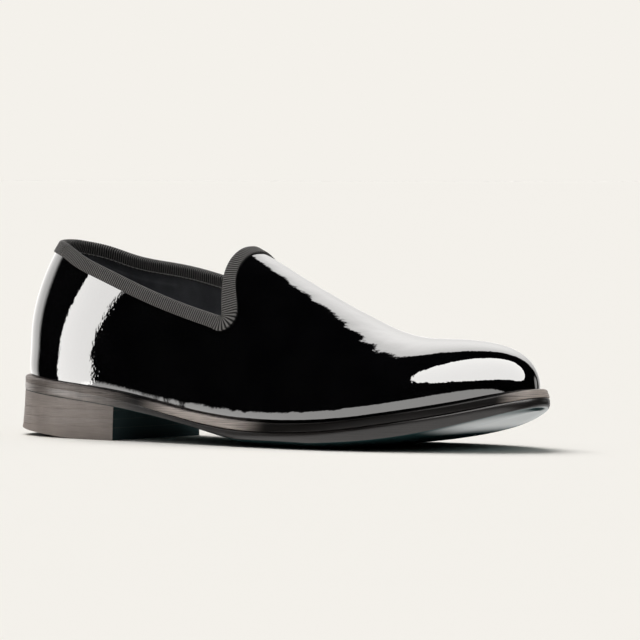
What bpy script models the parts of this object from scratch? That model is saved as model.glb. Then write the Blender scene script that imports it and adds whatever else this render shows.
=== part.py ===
"""Plain slip-on dress shoe in patent leather for the right foot, with a ribbon-bound topline.

The shoe points along +X, the inner (medial) side of the foot is +Y and the floor is z = 0.
Lengths below are millimetres, and the meshes are in metres. Every curved piece comes from one
description of the last: a table of sections from the heel seat to the tip of the toe.
"""

import bmesh
import bpy
import numpy as np

MM = 0.001

# Driving dimensions of the last and of the finished shoe.
LAST_LENGTH = 290.0
BALL_WIDTH = 88.0
INSTEP_RISE = 82.0
HEEL_SEAT = 29.5
GAP = 0.3

# Upper: wall thickness, roundness of its two ends and the curve of its back.
WALL = 2.0
HEEL_END = 62.0
HEEL_POWER = 2.7
HEEL_PINCH = 0.12
PINCH_HEIGHT = 70.0
PINCH_REACH = 90.0
TOE_END = 82.0
TOE_POWER = 2.15
TOE_DOME = 54.0
TOE_DOME_POWER = 2.2
BACK_BULGE_HEIGHT = 18.0
BACK_RADIUS = 74.0
BACK_UNDERCUT = 0.45
BACK_REACH = 105.0
BACK_SHIFT = 4.5
BULGE_HEIGHT = 20.0
NARROW_END = 20.0

# Topline: where it meets the throat, and the ribbon that binds it.
THROAT = 138.5
THROAT_ROUNDING = 3.2
RIBBON_WIDTH = 5.2
RIBBON_CORNER_SPREAD = 0.4
RIBBON_THICKNESS = 0.8

# Sole: edge overhang, layer thickness and the heel under it.
OVERHANG_HEEL = 2.9
OVERHANG_WAIST = 2.6
OVERHANG_FORE = 4.3
MIDSOLE_HEEL = 3.2
MIDSOLE_FORE = 4.2
EDGE_ROUNDING = 1.3
BALL_EDGE_LIFT = 3.2
TOE_EDGE_LIFT = 1.4
TREAD_FLAT_SHARE = 0.45
INSOLE_THICKNESS = 3.2
INSOLE_CLEARANCE = 1.2
HEEL_BREAST = 73.3
TOP_PIECE = 6.0
LIFT = 4.2
HEEL_FLARE = 0.022
HEEL_BEVEL_START = 50.0
HEEL_BEVEL_RISE = 3.5
HEEL_BEVEL_POWER = 1.3
LAYER_CHAMFER = 0.25

# Stations, as shares of the last's length, where the sole changes from one form to the next.
HEEL_FRONT = 0.22
WAIST_START = 0.25
WAIST = 0.36
BALL_START = 0.60
CHANGE = 0.30

# Mesh density.
QUARTER_COLUMNS = 22
THROAT_COLUMNS = 4
TONGUE_COLUMNS = 20
WALL_ROWS = 14
SOLE_STATIONS = 34
HEEL_STATIONS = 14
GIRTH_SAMPLES = 72
OUTLINE_SAMPLES = 200
WALK_STEPS = 4
BACK_CROWDING = 1.6
SLOPE_STEP = 1e-3
WELD = 0.02
SHARP_ANGLE = 40.0

LATERAL, MEDIAL = -1.0, 1.0

# One row for each section of the last: its place as a share of the length, its half width as a
# share of half the ball width, the swing of its centre line towards the inner side, the height of
# its feather edge above the floor, the rise of its ridge as a share of the instep rise, the shift
# of that ridge towards the inner side, the fullness of the arch and the bulge of the side wall.
SECTION_FIELDS = ("station", "width", "swing", "feather", "rise", "ridge", "fullness", "bulge")
SECTIONS = np.array([
    (0.00, 0.695, 3.4, HEEL_SEAT, 1.000, 0.0, 3.4, 1.0),
    (0.10, 0.695, 0.0, 27.6, 1.000, 1.0, 3.4, 0.3),
    (0.25, 0.670, -5.4, 23.4, 0.985, 5.0, 3.0, 0.6),
    (0.40, 0.705, -8.9, 16.8, 0.985, 7.6, 2.4, 1.2),
    (0.52, 0.852, -6.4, 12.9, 0.843, 4.4, 2.1, 1.2),
    (0.64, 0.977, -3.7, 12.2, 0.644, 3.4, 1.9, 1.1),
    (0.74, 1.000, -1.0, 14.0, 0.482, 3.5, 1.9, 1.1),
    (0.84, 0.932, 2.5, 18.2, 0.402, 2.0, 2.0, 1.0),
    (0.93, 0.818, 4.5, 23.3, 0.378, 1.0, 2.2, 0.8),
    (1.00, 0.705, 5.5, 28.5, 0.366, 0.0, 2.2, 0.5),
])

# Topline of each quarter on the flat pattern: distance from the back seam and girth above the
# feather edge on the outer and inner side.
TOPLINE_FIELDS = ("along", "lateral", "medial")
TOPLINE = np.array([
    (0.0, 68.0, 68.0),
    (14.0, 67.0, 65.8),
    (32.0, 62.4, 61.4),
    (58.0, 56.5, 59.0),
    (88.0, 51.3, 58.4),
    (112.0, 48.7, 56.6),
    (THROAT, 46.6, 53.2),
])

# Free edge of the tongue: share of the way from the throat up to the ridge, and how far the edge
# stands back from the throat.
TONGUE_FIELDS = ("climb", "setback")
TONGUE = np.array([
    (0.00, 0.0),
    (0.25, 4.4),
    (0.50, 8.2),
    (0.75, 9.4),
    (1.00, 8.6),
])

# Height of the tread on the centre line; below zero it is worn flat on the floor.
TREAD_FIELDS = ("station", "height")
TREAD = np.array([
    (0.00, 22.3),
    (0.12, 19.6),
    (0.24, 16.6),
    (0.36, 11.1),
    (0.48, 3.0),
    (0.56, -0.6),
    (0.66, -0.6),
    (0.74, 1.2),
    (0.84, 5.2),
    (0.93, 11.4),
    (1.00, 17.8),
])


def spline(knots, values, at):
    """Natural cubic curve through (knots, values), read at the given places."""
    at = np.asarray(at, float)
    step = np.diff(knots)
    slope = np.diff(values) / step
    matrix = np.eye(len(knots))
    right = np.zeros(len(knots))
    for i in range(1, len(knots) - 1):
        matrix[i, i - 1:i + 2] = step[i - 1], 2 * (step[i - 1] + step[i]), step[i]
        right[i] = 6 * (slope[i] - slope[i - 1])
    bend = np.linalg.solve(matrix, right)
    k = np.clip(np.searchsorted(knots, at) - 1, 0, len(knots) - 2)
    b = (at - knots[k]) / step[k]
    a = 1 - b
    curved = ((a ** 3 - a) * bend[k] + (b ** 3 - b) * bend[k + 1]) * step[k] ** 2 / 6
    return a * values[k] + b * values[k + 1] + curved


def read(table, columns, name, at):
    """Smooth value of a table's named column at a place given in its first column."""
    return spline(table[:, 0], table[:, columns.index(name)], at)


def section(name, along):
    """Named value of the last's section at a distance from the heel seat."""
    return read(SECTIONS, SECTION_FIELDS, name, np.asarray(along) / LAST_LENGTH)


def rounded_end(distance, length, power):
    """Rounds an end off: 0 at the end itself, 1 from the given length inwards."""
    inward = np.clip(1 - distance / length, 0, 1)
    return (1 - inward ** power) ** (1 / power)


def ease(share):
    """Smooth step from 0 to 1 with no kink in its curvature."""
    share = np.clip(share, 0, 1)
    return share ** 3 * (10 - 15 * share + 6 * share ** 2)


def along_last(turn):
    """Distance from the heel seat for a turn from 0 at the back seam to pi at the toe tip."""
    return LAST_LENGTH / 2 * (1 - np.cos(turn))


def turn_at(along):
    """Turn whose distance from the heel seat is given."""
    return np.arccos(np.clip(1 - 2 * np.asarray(along) / LAST_LENGTH, -1, 1))


def half_width(along):
    """Half width of the feather edge."""
    ends = rounded_end(along, HEEL_END, HEEL_POWER)
    ends = ends * rounded_end(LAST_LENGTH - along, TOE_END, TOE_POWER)
    return section("width", along) * BALL_WIDTH / 2 * ends


def back_lean(along, height):
    """How far the heel's curved back stands in from its fullest point, at a height on the last."""
    above = height - BACK_BULGE_HEIGHT
    hollow = 1 - BACK_UNDERCUT + BACK_UNDERCUT * np.tanh(above / BACK_BULGE_HEIGHT * 2)
    lean = above ** 2 / (2 * BACK_RADIUS) * hollow - BACK_SHIFT
    return lean * ease(1 - along / BACK_REACH)


def arch_point(turn, arch, side):
    """Point of the last's surface: arch runs from 0 at the feather edge to pi / 2 on the ridge."""
    along = along_last(turn)
    climb = np.sin(arch) ** (2 / section("fullness", along))
    rise = section("rise", along) * INSTEP_RISE
    height = rise * rounded_end(LAST_LENGTH - along, TOE_DOME, TOE_DOME_POWER) * climb
    width = half_width(along)
    slim = np.minimum(1, width / NARROW_END)
    low = np.clip(height / BULGE_HEIGHT, 0, 1)
    bulge = section("bulge", along) * slim * low * (1 - low) ** 3 * 256 / 27
    ridge = section("ridge", along) * slim * climb ** 2
    pinch = 1 - HEEL_PINCH * ease(height / PINCH_HEIGHT) * ease(1 - along / PINCH_REACH)
    return np.stack([
        along + back_lean(along, height),
        section("swing", along) + ridge + side * (width * pinch + bulge) * np.cos(arch),
        section("feather", along) + height,
    ], axis=-1)


def last_point(turn, share, side):
    """Point of the last's surface at a share of the girth, from 0 at the feather to 1 on the ridge.

    Returns the points and the whole girth of the half section that each lies on.
    """
    turn, share = np.broadcast_arrays(np.asarray(turn, float), np.asarray(share, float))
    arches = np.linspace(0, np.pi / 2, GIRTH_SAMPLES)
    curve = arch_point(turn[..., None], arches, side)
    steps = np.linalg.norm(np.diff(curve, axis=-2), axis=-1)
    girth = np.concatenate([np.zeros(turn.shape + (1,)), np.cumsum(steps, axis=-1)], axis=-1)
    arch = np.empty(turn.shape)
    for place in np.ndindex(turn.shape):
        wanted = np.clip(share[place], 0, 1) * girth[place][-1]
        arch[place] = np.interp(wanted, girth[place], arches)
    return arch_point(turn, arch, side), girth[..., -1]


def surface_frame(turn, share, side):
    """Slopes of the surface along turn and share, and its outward normal."""
    turn_low, turn_high = np.maximum(turn - SLOPE_STEP, 0), np.minimum(turn + SLOPE_STEP, np.pi)
    share_low, share_high = np.maximum(share - SLOPE_STEP, 0), np.minimum(share + SLOPE_STEP, 1)
    along_turn = last_point(turn_high, share, side)[0] - last_point(turn_low, share, side)[0]
    along_turn /= (turn_high - turn_low)[..., None]
    along_share = last_point(turn, share_high, side)[0] - last_point(turn, share_low, side)[0]
    along_share /= (share_high - share_low)[..., None]
    normal = np.cross(along_turn, along_share) * -side
    normal /= np.linalg.norm(normal, axis=-1, keepdims=True)
    return along_turn, along_share, normal


def topline_pattern(side):
    """Topline of one half on the flat pattern, from the back seam to the ridge.

    Returns distances along the last, girths above the feather edge, and how far each point is
    along the tongue: 0 for the quarter, then up to 1 on the ridge.
    """
    name = "lateral" if side == LATERAL else "medial"
    corner = read(TOPLINE, TOPLINE_FIELDS, name, THROAT)
    spread = 1 - np.cos(np.linspace(0, np.pi / 2, QUARTER_COLUMNS + 1)) ** BACK_CROWDING
    collar = (THROAT - THROAT_ROUNDING) * spread
    quarter = np.stack([collar, read(TOPLINE, TOPLINE_FIELDS, name, collar)], axis=-1)

    whole = last_point(turn_at(THROAT - TONGUE[-1, 1]), 1.0, side)[1]
    first_climb = THROAT_ROUNDING / (whole - corner)
    climb = np.linspace(first_climb, 1, TONGUE_COLUMNS + 1)
    setback = read(TONGUE, TONGUE_FIELDS, "setback", climb)
    tongue = np.stack([THROAT - setback, corner + climb * (whole - corner)], axis=-1)

    bend = np.linspace(0, 1, THROAT_COLUMNS + 2)[1:-1, None]
    point = np.array([THROAT, corner])
    throat = (1 - bend) ** 2 * quarter[-1] + 2 * bend * (1 - bend) * point + bend ** 2 * tongue[0]

    path = np.concatenate([quarter, throat, tongue])
    climbing = np.linspace(0, 1, len(throat) + len(tongue) + 1)[1:]
    forward = np.concatenate([np.zeros(len(quarter)), climbing])
    return path[:, 0], path[:, 1], forward


def topline_walk(side):
    """Rows of the surface under the topline: at the edge, half way and at the ribbon's lower edge.

    Returns turns, shares and positions along the tongue, each with one row for each distance.
    """
    along, girth, forward = topline_pattern(side)
    turn = turn_at(along)
    share = girth / last_point(turn, 1.0, side)[1]
    share[-1] = 1.0
    rows = [(turn, share)]
    corner = np.arange(len(along)) - QUARTER_COLUMNS - THROAT_COLUMNS
    spread = 1 + RIBBON_CORNER_SPREAD * np.exp(-(corner / THROAT_COLUMNS) ** 2)
    stride = RIBBON_WIDTH / 2 / WALK_STEPS * spread
    for _ in range(2):
        for _ in range(WALK_STEPS):
            points = last_point(turn, share, side)[0]
            tangent = np.gradient(points, axis=0)
            tangent[0], tangent[-1] = (0, side, 0), (0, -side, 0)
            along_turn, along_share, normal = surface_frame(turn, share, side)
            away = np.cross(normal, tangent) * side
            away /= np.linalg.norm(away, axis=-1, keepdims=True)
            move = np.stack([
                np.linalg.lstsq(np.stack([t, s], axis=-1), a, rcond=None)[0]
                for t, s, a in zip(along_turn, along_share, away * stride[:, None])
            ])
            turn = np.maximum(turn + move[:, 0], 0)
            share = np.minimum(share + move[:, 1], 1)
            turn[0], share[-1] = 0.0, 1.0
        rows.append((turn, share))
    turns, shares = (np.stack(values) for values in zip(*rows))
    return turns, shares, forward


def half_upper(side):
    """Grid of turns and shares over one half of the upper, from topline to feather edge."""
    turns, shares, forward = topline_walk(side)
    start, end = along_last(turns[-1]), np.empty(len(forward))
    quarter = forward == 0
    end[quarter] = start[quarter]
    throat = start[quarter][-1]
    end[~quarter] = throat + (LAST_LENGTH - throat) * np.sin(forward[~quarter] * np.pi / 2)
    out_start = half_width(start) * (1 - shares[-1])
    out_end = half_width(end)
    rows = []
    for down in np.linspace(0, 1, WALL_ROWS - 1)[1:]:
        way = down + (np.sin(down * np.pi / 2) - down) * forward
        along = start + (end - start) * way
        width = np.maximum(half_width(along), SLOPE_STEP)
        out = out_start + (out_end - out_start) * way
        share = np.clip(1 - out / width, 0, 1)
        share[quarter] = (shares[-1] * (1 - way))[quarter]
        share[-1] = 1.0
        rows.append((turn_at(along), share if down < 1 else np.zeros_like(share)))
    more_turns, more_shares = (np.stack(values) for values in zip(*rows))
    return np.concatenate([turns, more_turns]), np.concatenate([shares, more_shares])


def loop(lateral, medial):
    """Joins the two halves into one ring: outer side to the ridge, then back along the inner side."""
    return np.concatenate([lateral, medial[:, -2::-1]], axis=1)


def upper_surface():
    """Outer surface of the upper: one column around the topline, one row down to the feather edge."""
    halves = []
    for side in (LATERAL, MEDIAL):
        turns, shares = half_upper(side)
        halves.append(last_point(turns, shares, side)[0])
    return loop(*halves)


def ribbon_rows():
    """Rows of the upper that the ribbon covers, with their outward normals."""
    points, normals = [], []
    for side in (LATERAL, MEDIAL):
        turns, shares, _ = topline_walk(side)
        points.append(last_point(turns, shares, side)[0])
        normals.append(surface_frame(turns, shares, side)[2])
    return loop(*points), loop(*normals)


def feather_outline(turn, side, outset):
    """Feather edge of one side in plan, moved outwards square to itself."""
    turn = np.asarray(turn, float)

    def edge(at):
        along = along_last(at)
        across = section("swing", along) + side * half_width(along)
        return np.stack([along + back_lean(along, 0.0), across], axis=-1)

    tangent = edge(np.minimum(turn + SLOPE_STEP, np.pi)) - edge(np.maximum(turn - SLOPE_STEP, 0))
    outward = np.stack([-tangent[..., 1], tangent[..., 0]], axis=-1) * side
    outward[turn <= 0] = (-1, 0)
    outward[turn >= np.pi] = (1, 0)
    outward /= np.linalg.norm(outward, axis=-1, keepdims=True)
    return edge(turn) + outward * np.asarray(outset)[..., None]


def overhang(along):
    """How far the sole edge stands out past the feather edge."""
    station = along / LAST_LENGTH
    waist = np.interp(station, (HEEL_FRONT, WAIST), (OVERHANG_HEEL, OVERHANG_WAIST))
    fore = ease((station - WAIST) / CHANGE)
    return waist + (OVERHANG_FORE - OVERHANG_WAIST) * fore


def forepart(along):
    """0 from the heel to the waist, 1 under the ball and toe."""
    return ease((along / LAST_LENGTH - WAIST_START) / CHANGE)


def seat(along):
    """Height of the top of the sole."""
    return section("feather", along) - GAP


def midsole_under(along):
    """Height of the midsole's lower face."""
    return seat(along) - MIDSOLE_HEEL - (MIDSOLE_FORE - MIDSOLE_HEEL) * forepart(along)


def tread(along):
    """Height of the tread on the centre line."""
    return np.maximum(0, read(TREAD, TREAD_FIELDS, "height", along / LAST_LENGTH))


def tread_edge(along):
    """How much higher the tread's rim is than its centre line."""
    station = along / LAST_LENGTH
    lift = BALL_EDGE_LIFT + (TOE_EDGE_LIFT - BALL_EDGE_LIFT) * ease((station - BALL_START) / CHANGE)
    return lift * ease((station - WAIST_START) / CHANGE)


def plate_rings(edge, top_columns=1, bottom_columns=1, bottom_lift=None):
    """Closed cross sections of a plate: outer edge, under face, inner edge and top face.

    edge lists, from top to bottom, how far the rim stands out at each distance along the last and
    its height there. bottom_lift is how much higher the lower rim is than the middle of the plate.
    """
    turns = np.linspace(0, np.pi, SOLE_STATIONS + 1)
    sides = []
    for side in (LATERAL, MEDIAL):
        rim = []
        for outset, height in edge:
            plan = feather_outline(turns, side, outset(along_last(turns)))
            rim.append(np.concatenate([plan, height(plan[:, :1])], axis=-1))
        sides.append(rim)
    lateral, medial = sides
    rings = list(lateral)
    for share in np.linspace(0, 1, bottom_columns + 2)[1:-1]:
        across = lateral[-1] + (medial[-1] - lateral[-1]) * share
        if bottom_lift:
            inner = np.clip((abs(2 * share - 1) - TREAD_FLAT_SHARE) / (1 - TREAD_FLAT_SHARE), 0, 1)
            across[:, 2] = tread(across[:, 0]) + bottom_lift(across[:, 0]) * inner ** 2
        rings.append(across)
    rings += medial[::-1]
    for share in np.linspace(1, 0, top_columns + 2)[1:-1]:
        rings.append(lateral[0] + (medial[0] - lateral[0]) * share)
    return np.stack(rings, axis=1)


def grid_object(name, points, collection, material, thickness=0.0):
    """Object from a grid bent to the given points, welded where its borders meet.

    The last column joins the first. With a thickness it is an open surface given that wall, and
    otherwise a closed solid.
    """
    points = np.concatenate([points, points[:, :1]], axis=1)
    rows, columns = points.shape[:2]
    mesh = bpy.data.meshes.new(name)
    bm = bmesh.new()
    bmesh.ops.create_grid(bm, x_segments=columns - 1, y_segments=rows - 1, size=1.0)
    bm.verts.ensure_lookup_table()
    order = sorted(bm.verts, key=lambda vert: (round(vert.co.y, 6), round(vert.co.x, 6)))
    for vert, point in zip(order, points.reshape(-1, 3)):
        vert.co = point * MM
    bmesh.ops.remove_doubles(bm, verts=bm.verts, dist=WELD * MM)
    bmesh.ops.dissolve_degenerate(bm, edges=bm.edges, dist=WELD * MM / 4)
    if thickness == 0.0:
        bmesh.ops.holes_fill(bm, edges=bm.edges)
        bmesh.ops.recalc_face_normals(bm, faces=bm.faces)
        if bm.calc_volume(signed=True) < 0:
            bmesh.ops.reverse_faces(bm, faces=bm.faces)
    bm.to_mesh(mesh)
    bm.free()
    mesh.shade_smooth()
    mesh.set_sharp_from_angle(angle=np.radians(SHARP_ANGLE))
    mesh.materials.append(material)
    part = bpy.data.objects.new(name, mesh)
    collection.objects.link(part)
    if thickness:
        wall = part.modifiers.new("Wall", "SOLIDIFY")
        wall.thickness = thickness * MM
        wall.offset = -1.0
        wall.use_even_offset = True
        wall.use_quality_normals = True
    return part


def make_material(name, colour, roughness, metallic=0.0):
    """Principled material with one colour, roughness and metallic value."""
    material = bpy.data.materials.new(name)
    material.use_nodes = True
    shader = material.node_tree.nodes["Principled BSDF"]
    shader.inputs["Base Color"].default_value = (*colour, 1.0)
    shader.inputs["Roughness"].default_value = roughness
    shader.inputs["Metallic"].default_value = metallic
    return material


def build_upper(collection):
    """Patent leather upper: one hollow wall, open at the topline and along the feather edge."""
    points = upper_surface()[::-1]
    patent = make_material("patent_leather", (0.004, 0.004, 0.005), 0.06)
    return grid_object("upper", points[:, :-1], collection, patent, WALL)


def build_binding(collection):
    """Ribbon folded over the topline: a channel that clears the wall on both sides."""
    (edge, middle, lower), (n_edge, n_middle, n_lower) = ribbon_rows()
    up = edge - middle
    up /= np.linalg.norm(up, axis=-1, keepdims=True)
    outer, inner = GAP, -(WALL + GAP)
    thick = RIBBON_THICKNESS
    fold = GAP + thick
    rings = [
        lower + n_lower * (outer + thick),
        middle + n_middle * (outer + thick),
        edge + n_edge * (outer + thick) + up * GAP,
        edge + n_edge * (outer + thick / 4) + up * fold,
        edge - n_edge * (WALL / 2) + up * (fold + thick / 4),
        edge + n_edge * (inner - thick / 4) + up * fold,
        edge + n_edge * (inner - thick) + up * GAP,
        middle + n_middle * (inner - thick),
        lower + n_lower * (inner - thick),
        lower + n_lower * inner,
        middle + n_middle * inner,
        edge + n_edge * inner + up * GAP,
        edge + n_edge * outer + up * GAP,
        middle + n_middle * outer,
        lower + n_lower * outer,
    ]
    ring = np.stack(rings, axis=0)[:, :-1]
    ring = np.concatenate([ring, ring[:1]], axis=0)
    ribbon = make_material("ribbon", (0.035, 0.035, 0.036), 0.85)
    return grid_object("binding", ring, collection, ribbon)


def build_insole(collection):
    """Insole that lies on the midsole inside the wall of the upper."""
    def inset(along):
        return np.full_like(along, -(WALL + INSOLE_CLEARANCE))

    edge = [
        (inset, lambda along: seat(along) + GAP + INSOLE_THICKNESS),
        (inset, lambda along: seat(along) + GAP),
    ]
    sock = make_material("insole_leather", (0.012, 0.013, 0.017), 0.5)
    return grid_object("insole", plate_rings(edge), collection, sock)


def build_midsole(collection):
    """Upper layer of the sole edge, rounded over where the upper stands on it."""
    r = EDGE_ROUNDING
    edge = [
        (lambda along: overhang(along) - r, seat),
        (lambda along: overhang(along) - 0.3 * r, lambda along: seat(along) - 0.3 * r),
        (overhang, lambda along: seat(along) - r),
        (overhang, lambda along: midsole_under(along) + 0.4 * r),
        (lambda along: overhang(along) - 0.5 * r, midsole_under),
    ]
    edge_finish = make_material("sole_edge", (0.030, 0.027, 0.026), 0.38)
    return grid_object("midsole", plate_rings(edge), collection, edge_finish)


def build_outsole(collection):
    """Lower layer of the sole: toe spring, flat tread under the ball, arch and heel seat."""
    r = EDGE_ROUNDING

    def down(share):
        def height(along):
            top, rim = midsole_under(along) - GAP, tread(along) + tread_edge(along)
            return top + (rim - top) * share
        return height

    edge = [
        (lambda along: overhang(along) - 0.5 * r, down(0.0)),
        (lambda along: overhang(along) + 0.1 * r, down(0.18)),
        (lambda along: overhang(along) + 0.2 * r, down(0.5)),
        (lambda along: overhang(along) - 0.1 * r * forepart(along), down(0.82)),
        (lambda along: overhang(along) - 0.9 * r * forepart(along), down(1.0)),
    ]
    sole_leather = make_material("outsole_leather", (0.024, 0.026, 0.027), 0.42)
    rings = plate_rings(edge, bottom_columns=6, bottom_lift=tread_edge)
    return grid_object("outsole", rings, collection, sole_leather)


def heel_outline():
    """Plan of the heel: distances from the back to the breast, and half outlines on both sides."""
    turns = np.linspace(0, turn_at(WAIST * LAST_LENGTH), OUTLINE_SAMPLES)
    sides = [feather_outline(turns, side, overhang(along_last(turns))) for side in (LATERAL, MEDIAL)]
    back = sides[0][0, 0]
    spread = 1 - np.cos(np.linspace(0, np.pi / 2, HEEL_STATIONS + 1))
    forward = back + (HEEL_BREAST - back) * spread
    halves = [np.interp(forward, plan[:, 0], plan[:, 1]) for plan in sides]
    for half in halves:
        half[0] = section("swing", 0.0)
    return forward, halves


def build_heel_layer(name, top, under, flare_top, flare_under, collection, material):
    """One layer of the stacked heel between two heights, each a function of the distance along."""
    forward, halves = heel_outline()
    breast = forward[-1]
    heights = (
        (top, flare_top, -LAYER_CHAMFER),
        (lambda x: top(x) - LAYER_CHAMFER, flare_top, 0.0),
        (lambda x: under(x) + LAYER_CHAMFER, flare_under, 0.0),
        (under, flare_under, -LAYER_CHAMFER),
    )

    def rim(half):
        lines = []
        for height, flare, inset in heights:
            scale = 1 + flare + inset / (BALL_WIDTH / 2)
            x = breast - (breast - forward) * scale
            lines.append(np.stack([x, half * scale, height(x)], axis=-1))
        return lines

    lateral, medial = rim(halves[0]), rim(halves[1])
    rings = np.stack(lateral + medial[::-1], axis=1)
    return grid_object(name, rings, collection, material)


def build_heel(collection):
    """Stacked heel: leather lifts under the heel seat and a rubber top piece on the floor."""
    leather = make_material("heel_leather", (0.034, 0.031, 0.030), 0.4)
    rubber = make_material("top_piece_rubber", (0.040, 0.037, 0.036), 0.6)

    def bevel(along):
        back = np.maximum(HEEL_BEVEL_START - along, 0) / HEEL_BEVEL_START
        return HEEL_BEVEL_RISE * back ** HEEL_BEVEL_POWER

    def level(count):
        return lambda along: TOP_PIECE + count * LIFT + 0 * along

    levels = [bevel, level(0), level(1), level(2), lambda along: tread(along) - GAP]
    names = ["top_piece", "heel_lift_1", "heel_lift_2", "heel_lift_3"]
    parts = []
    for i, name in enumerate(names):
        raised = GAP if i else 0.0
        flares = [HEEL_FLARE * (1 - k / len(names)) for k in (i + 1, i)]
        material = leather if i else rubber
        under = levels[i]
        parts.append(build_heel_layer(
            name, levels[i + 1], lambda x, under=under, raised=raised: under(x) + raised,
            *flares, collection, material))
    return parts


def centre_on_floor(parts, root):
    """Puts the middle of the shoe's box, at floor level, on the origin."""
    bpy.context.view_layer.update()
    graph = bpy.context.evaluated_depsgraph_get()
    corners = np.array([corner[:] for part in parts for corner in part.evaluated_get(graph).bound_box])
    low, high = corners.min(axis=0), corners.max(axis=0)
    root.location = (-(low[0] + high[0]) / 2, -(low[1] + high[1]) / 2, -low[2])
    for part in parts:
        part.parent = root


def main():
    """Clears the scene and builds the shoe."""
    for old in list(bpy.data.objects):
        bpy.data.objects.remove(old, do_unlink=True)
    collection = bpy.data.collections.new("patent_loafer")
    bpy.context.scene.collection.children.link(collection)
    parts = [
        build_upper(collection),
        build_binding(collection),
        build_insole(collection),
        build_midsole(collection),
        build_outsole(collection),
    ]
    parts += build_heel(collection)
    root = bpy.data.objects.new("shoe", None)
    collection.objects.link(root)
    centre_on_floor(parts, root)


main()
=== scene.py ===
"""Patent leather slip-on loafer for the right foot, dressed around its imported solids.

The shoe points along +X, its inner side is +Y and the floor is z = 0. Sizes are millimetres, as a
pattern cutter gives them, in the last's own frame, and the finished meshes are in metres.
"""

import logging
from collections.abc import Callable, Sequence
from dataclasses import dataclass, replace
from enum import Enum
from typing import Any

import bmesh
import bpy
import numpy as np
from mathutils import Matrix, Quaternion, Vector


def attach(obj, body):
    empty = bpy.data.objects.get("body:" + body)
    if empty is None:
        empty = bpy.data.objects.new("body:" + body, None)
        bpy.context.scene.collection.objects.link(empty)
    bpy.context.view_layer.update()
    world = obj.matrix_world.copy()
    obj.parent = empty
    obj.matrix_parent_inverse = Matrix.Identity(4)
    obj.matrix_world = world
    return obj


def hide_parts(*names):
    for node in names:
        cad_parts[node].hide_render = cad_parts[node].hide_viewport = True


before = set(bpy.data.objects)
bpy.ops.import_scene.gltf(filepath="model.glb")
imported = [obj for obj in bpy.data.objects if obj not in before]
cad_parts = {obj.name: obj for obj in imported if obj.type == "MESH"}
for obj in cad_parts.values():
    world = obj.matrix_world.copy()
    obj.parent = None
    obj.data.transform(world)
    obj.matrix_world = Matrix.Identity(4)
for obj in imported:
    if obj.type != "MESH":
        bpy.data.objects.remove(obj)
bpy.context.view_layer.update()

Array = np.ndarray
Height = Callable[[Array], Array]
FaceHeight = Callable[[Array, float], Array]
Colour = tuple[float, float, float]
Point = tuple[float, float, float]
Span = tuple[float, float]

LOG = logging.getLogger("loafer")
MM = 0.001
BODY = "root"
SHARP_ANGLE = 40.0
WELD = 0.004
TINY = 1e-12


class Side(Enum):
    """Sides of the foot, with the sign of their direction across."""

    LATERAL = -1.0
    MEDIAL = 1.0


def ease(share: Array) -> Array:
    """Smooth step from 0 to 1 with no kink in its curvature."""
    share = np.clip(share, 0, 1)
    return share ** 3 * (10 - 15 * share + 6 * share ** 2)


def unit(vectors: Array) -> Array:
    """Vectors scaled to a length of one."""
    return vectors / np.maximum(np.linalg.norm(vectors, axis=-1, keepdims=True), TINY)


def inner_shares(count: int) -> Array:
    """Evenly spaced shares between 0 and 1, without the two ends."""
    return np.linspace(0, 1, count + 2)[1:-1]


def run_length(points: Array) -> Array:
    """Distance of each point from the first, along the line that they make."""
    steps = np.linalg.norm(np.diff(points, axis=-2), axis=-1)
    return np.concatenate([np.zeros(steps.shape[:-1] + (1,)), np.cumsum(steps, axis=-1)], axis=-1)


def smooth_curve(knots: Array, values: Array, at: Array) -> Array:
    """Natural cubic curve through values at rising knots.

    Args:
        knots: places of the known values.
        values: one row for each knot.
        at: places to read.

    Returns:
        A row for each place.
    """
    at = np.asarray(at, float)
    step = np.diff(knots)
    flat = values.reshape(len(knots), -1)
    slope = np.diff(flat, axis=0) / step[:, None]
    inner = np.arange(1, len(knots) - 1)
    matrix = np.eye(len(knots))
    matrix[inner, inner - 1] = step[:-1]
    matrix[inner, inner] = 2 * (step[:-1] + step[1:])
    matrix[inner, inner + 1] = step[1:]
    right = np.zeros_like(flat)
    right[1:-1] = 6 * np.diff(slope, axis=0)
    bend = np.linalg.solve(matrix, right)
    k = np.clip(np.searchsorted(knots, at) - 1, 0, len(knots) - 2)
    b = ((at - knots[k]) / step[k])[..., None]
    a = 1 - b
    curved = ((a ** 3 - a) * bend[k] + (b ** 3 - b) * bend[k + 1]) * step[k][..., None] ** 2 / 6
    return (a * flat[k] + b * flat[k + 1] + curved).reshape(at.shape + values.shape[1:])


@dataclass(frozen=True)
class Measures:
    """A table of measures: places in the first column, and smooth curves through the others."""

    columns: tuple[str, ...]
    rows: tuple[tuple[float, ...], ...]

    def column(self, name: str) -> Array:
        """Measures of the named column as they were taken."""
        return np.array([row[self.columns.index(name)] for row in self.rows])

    def read(self, name: str, at: Array) -> Array:
        """Smooth measure of the named column at places of the first column."""
        return smooth_curve(self.column(self.columns[0]), self.column(name), at)


def rounded_end(distance: Array, shape: Span) -> Array:
    """Rounds an end off.

    Args:
        distance: distance from the end itself.
        shape: length of the rounding and the power of its curve.

    Returns:
        0 at the end, 1 from the rounding's length inwards.
    """
    length, power = shape
    inward = np.clip(1 - distance / length, 0, 1)
    return (1 - inward ** power) ** (1 / power)


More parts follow.
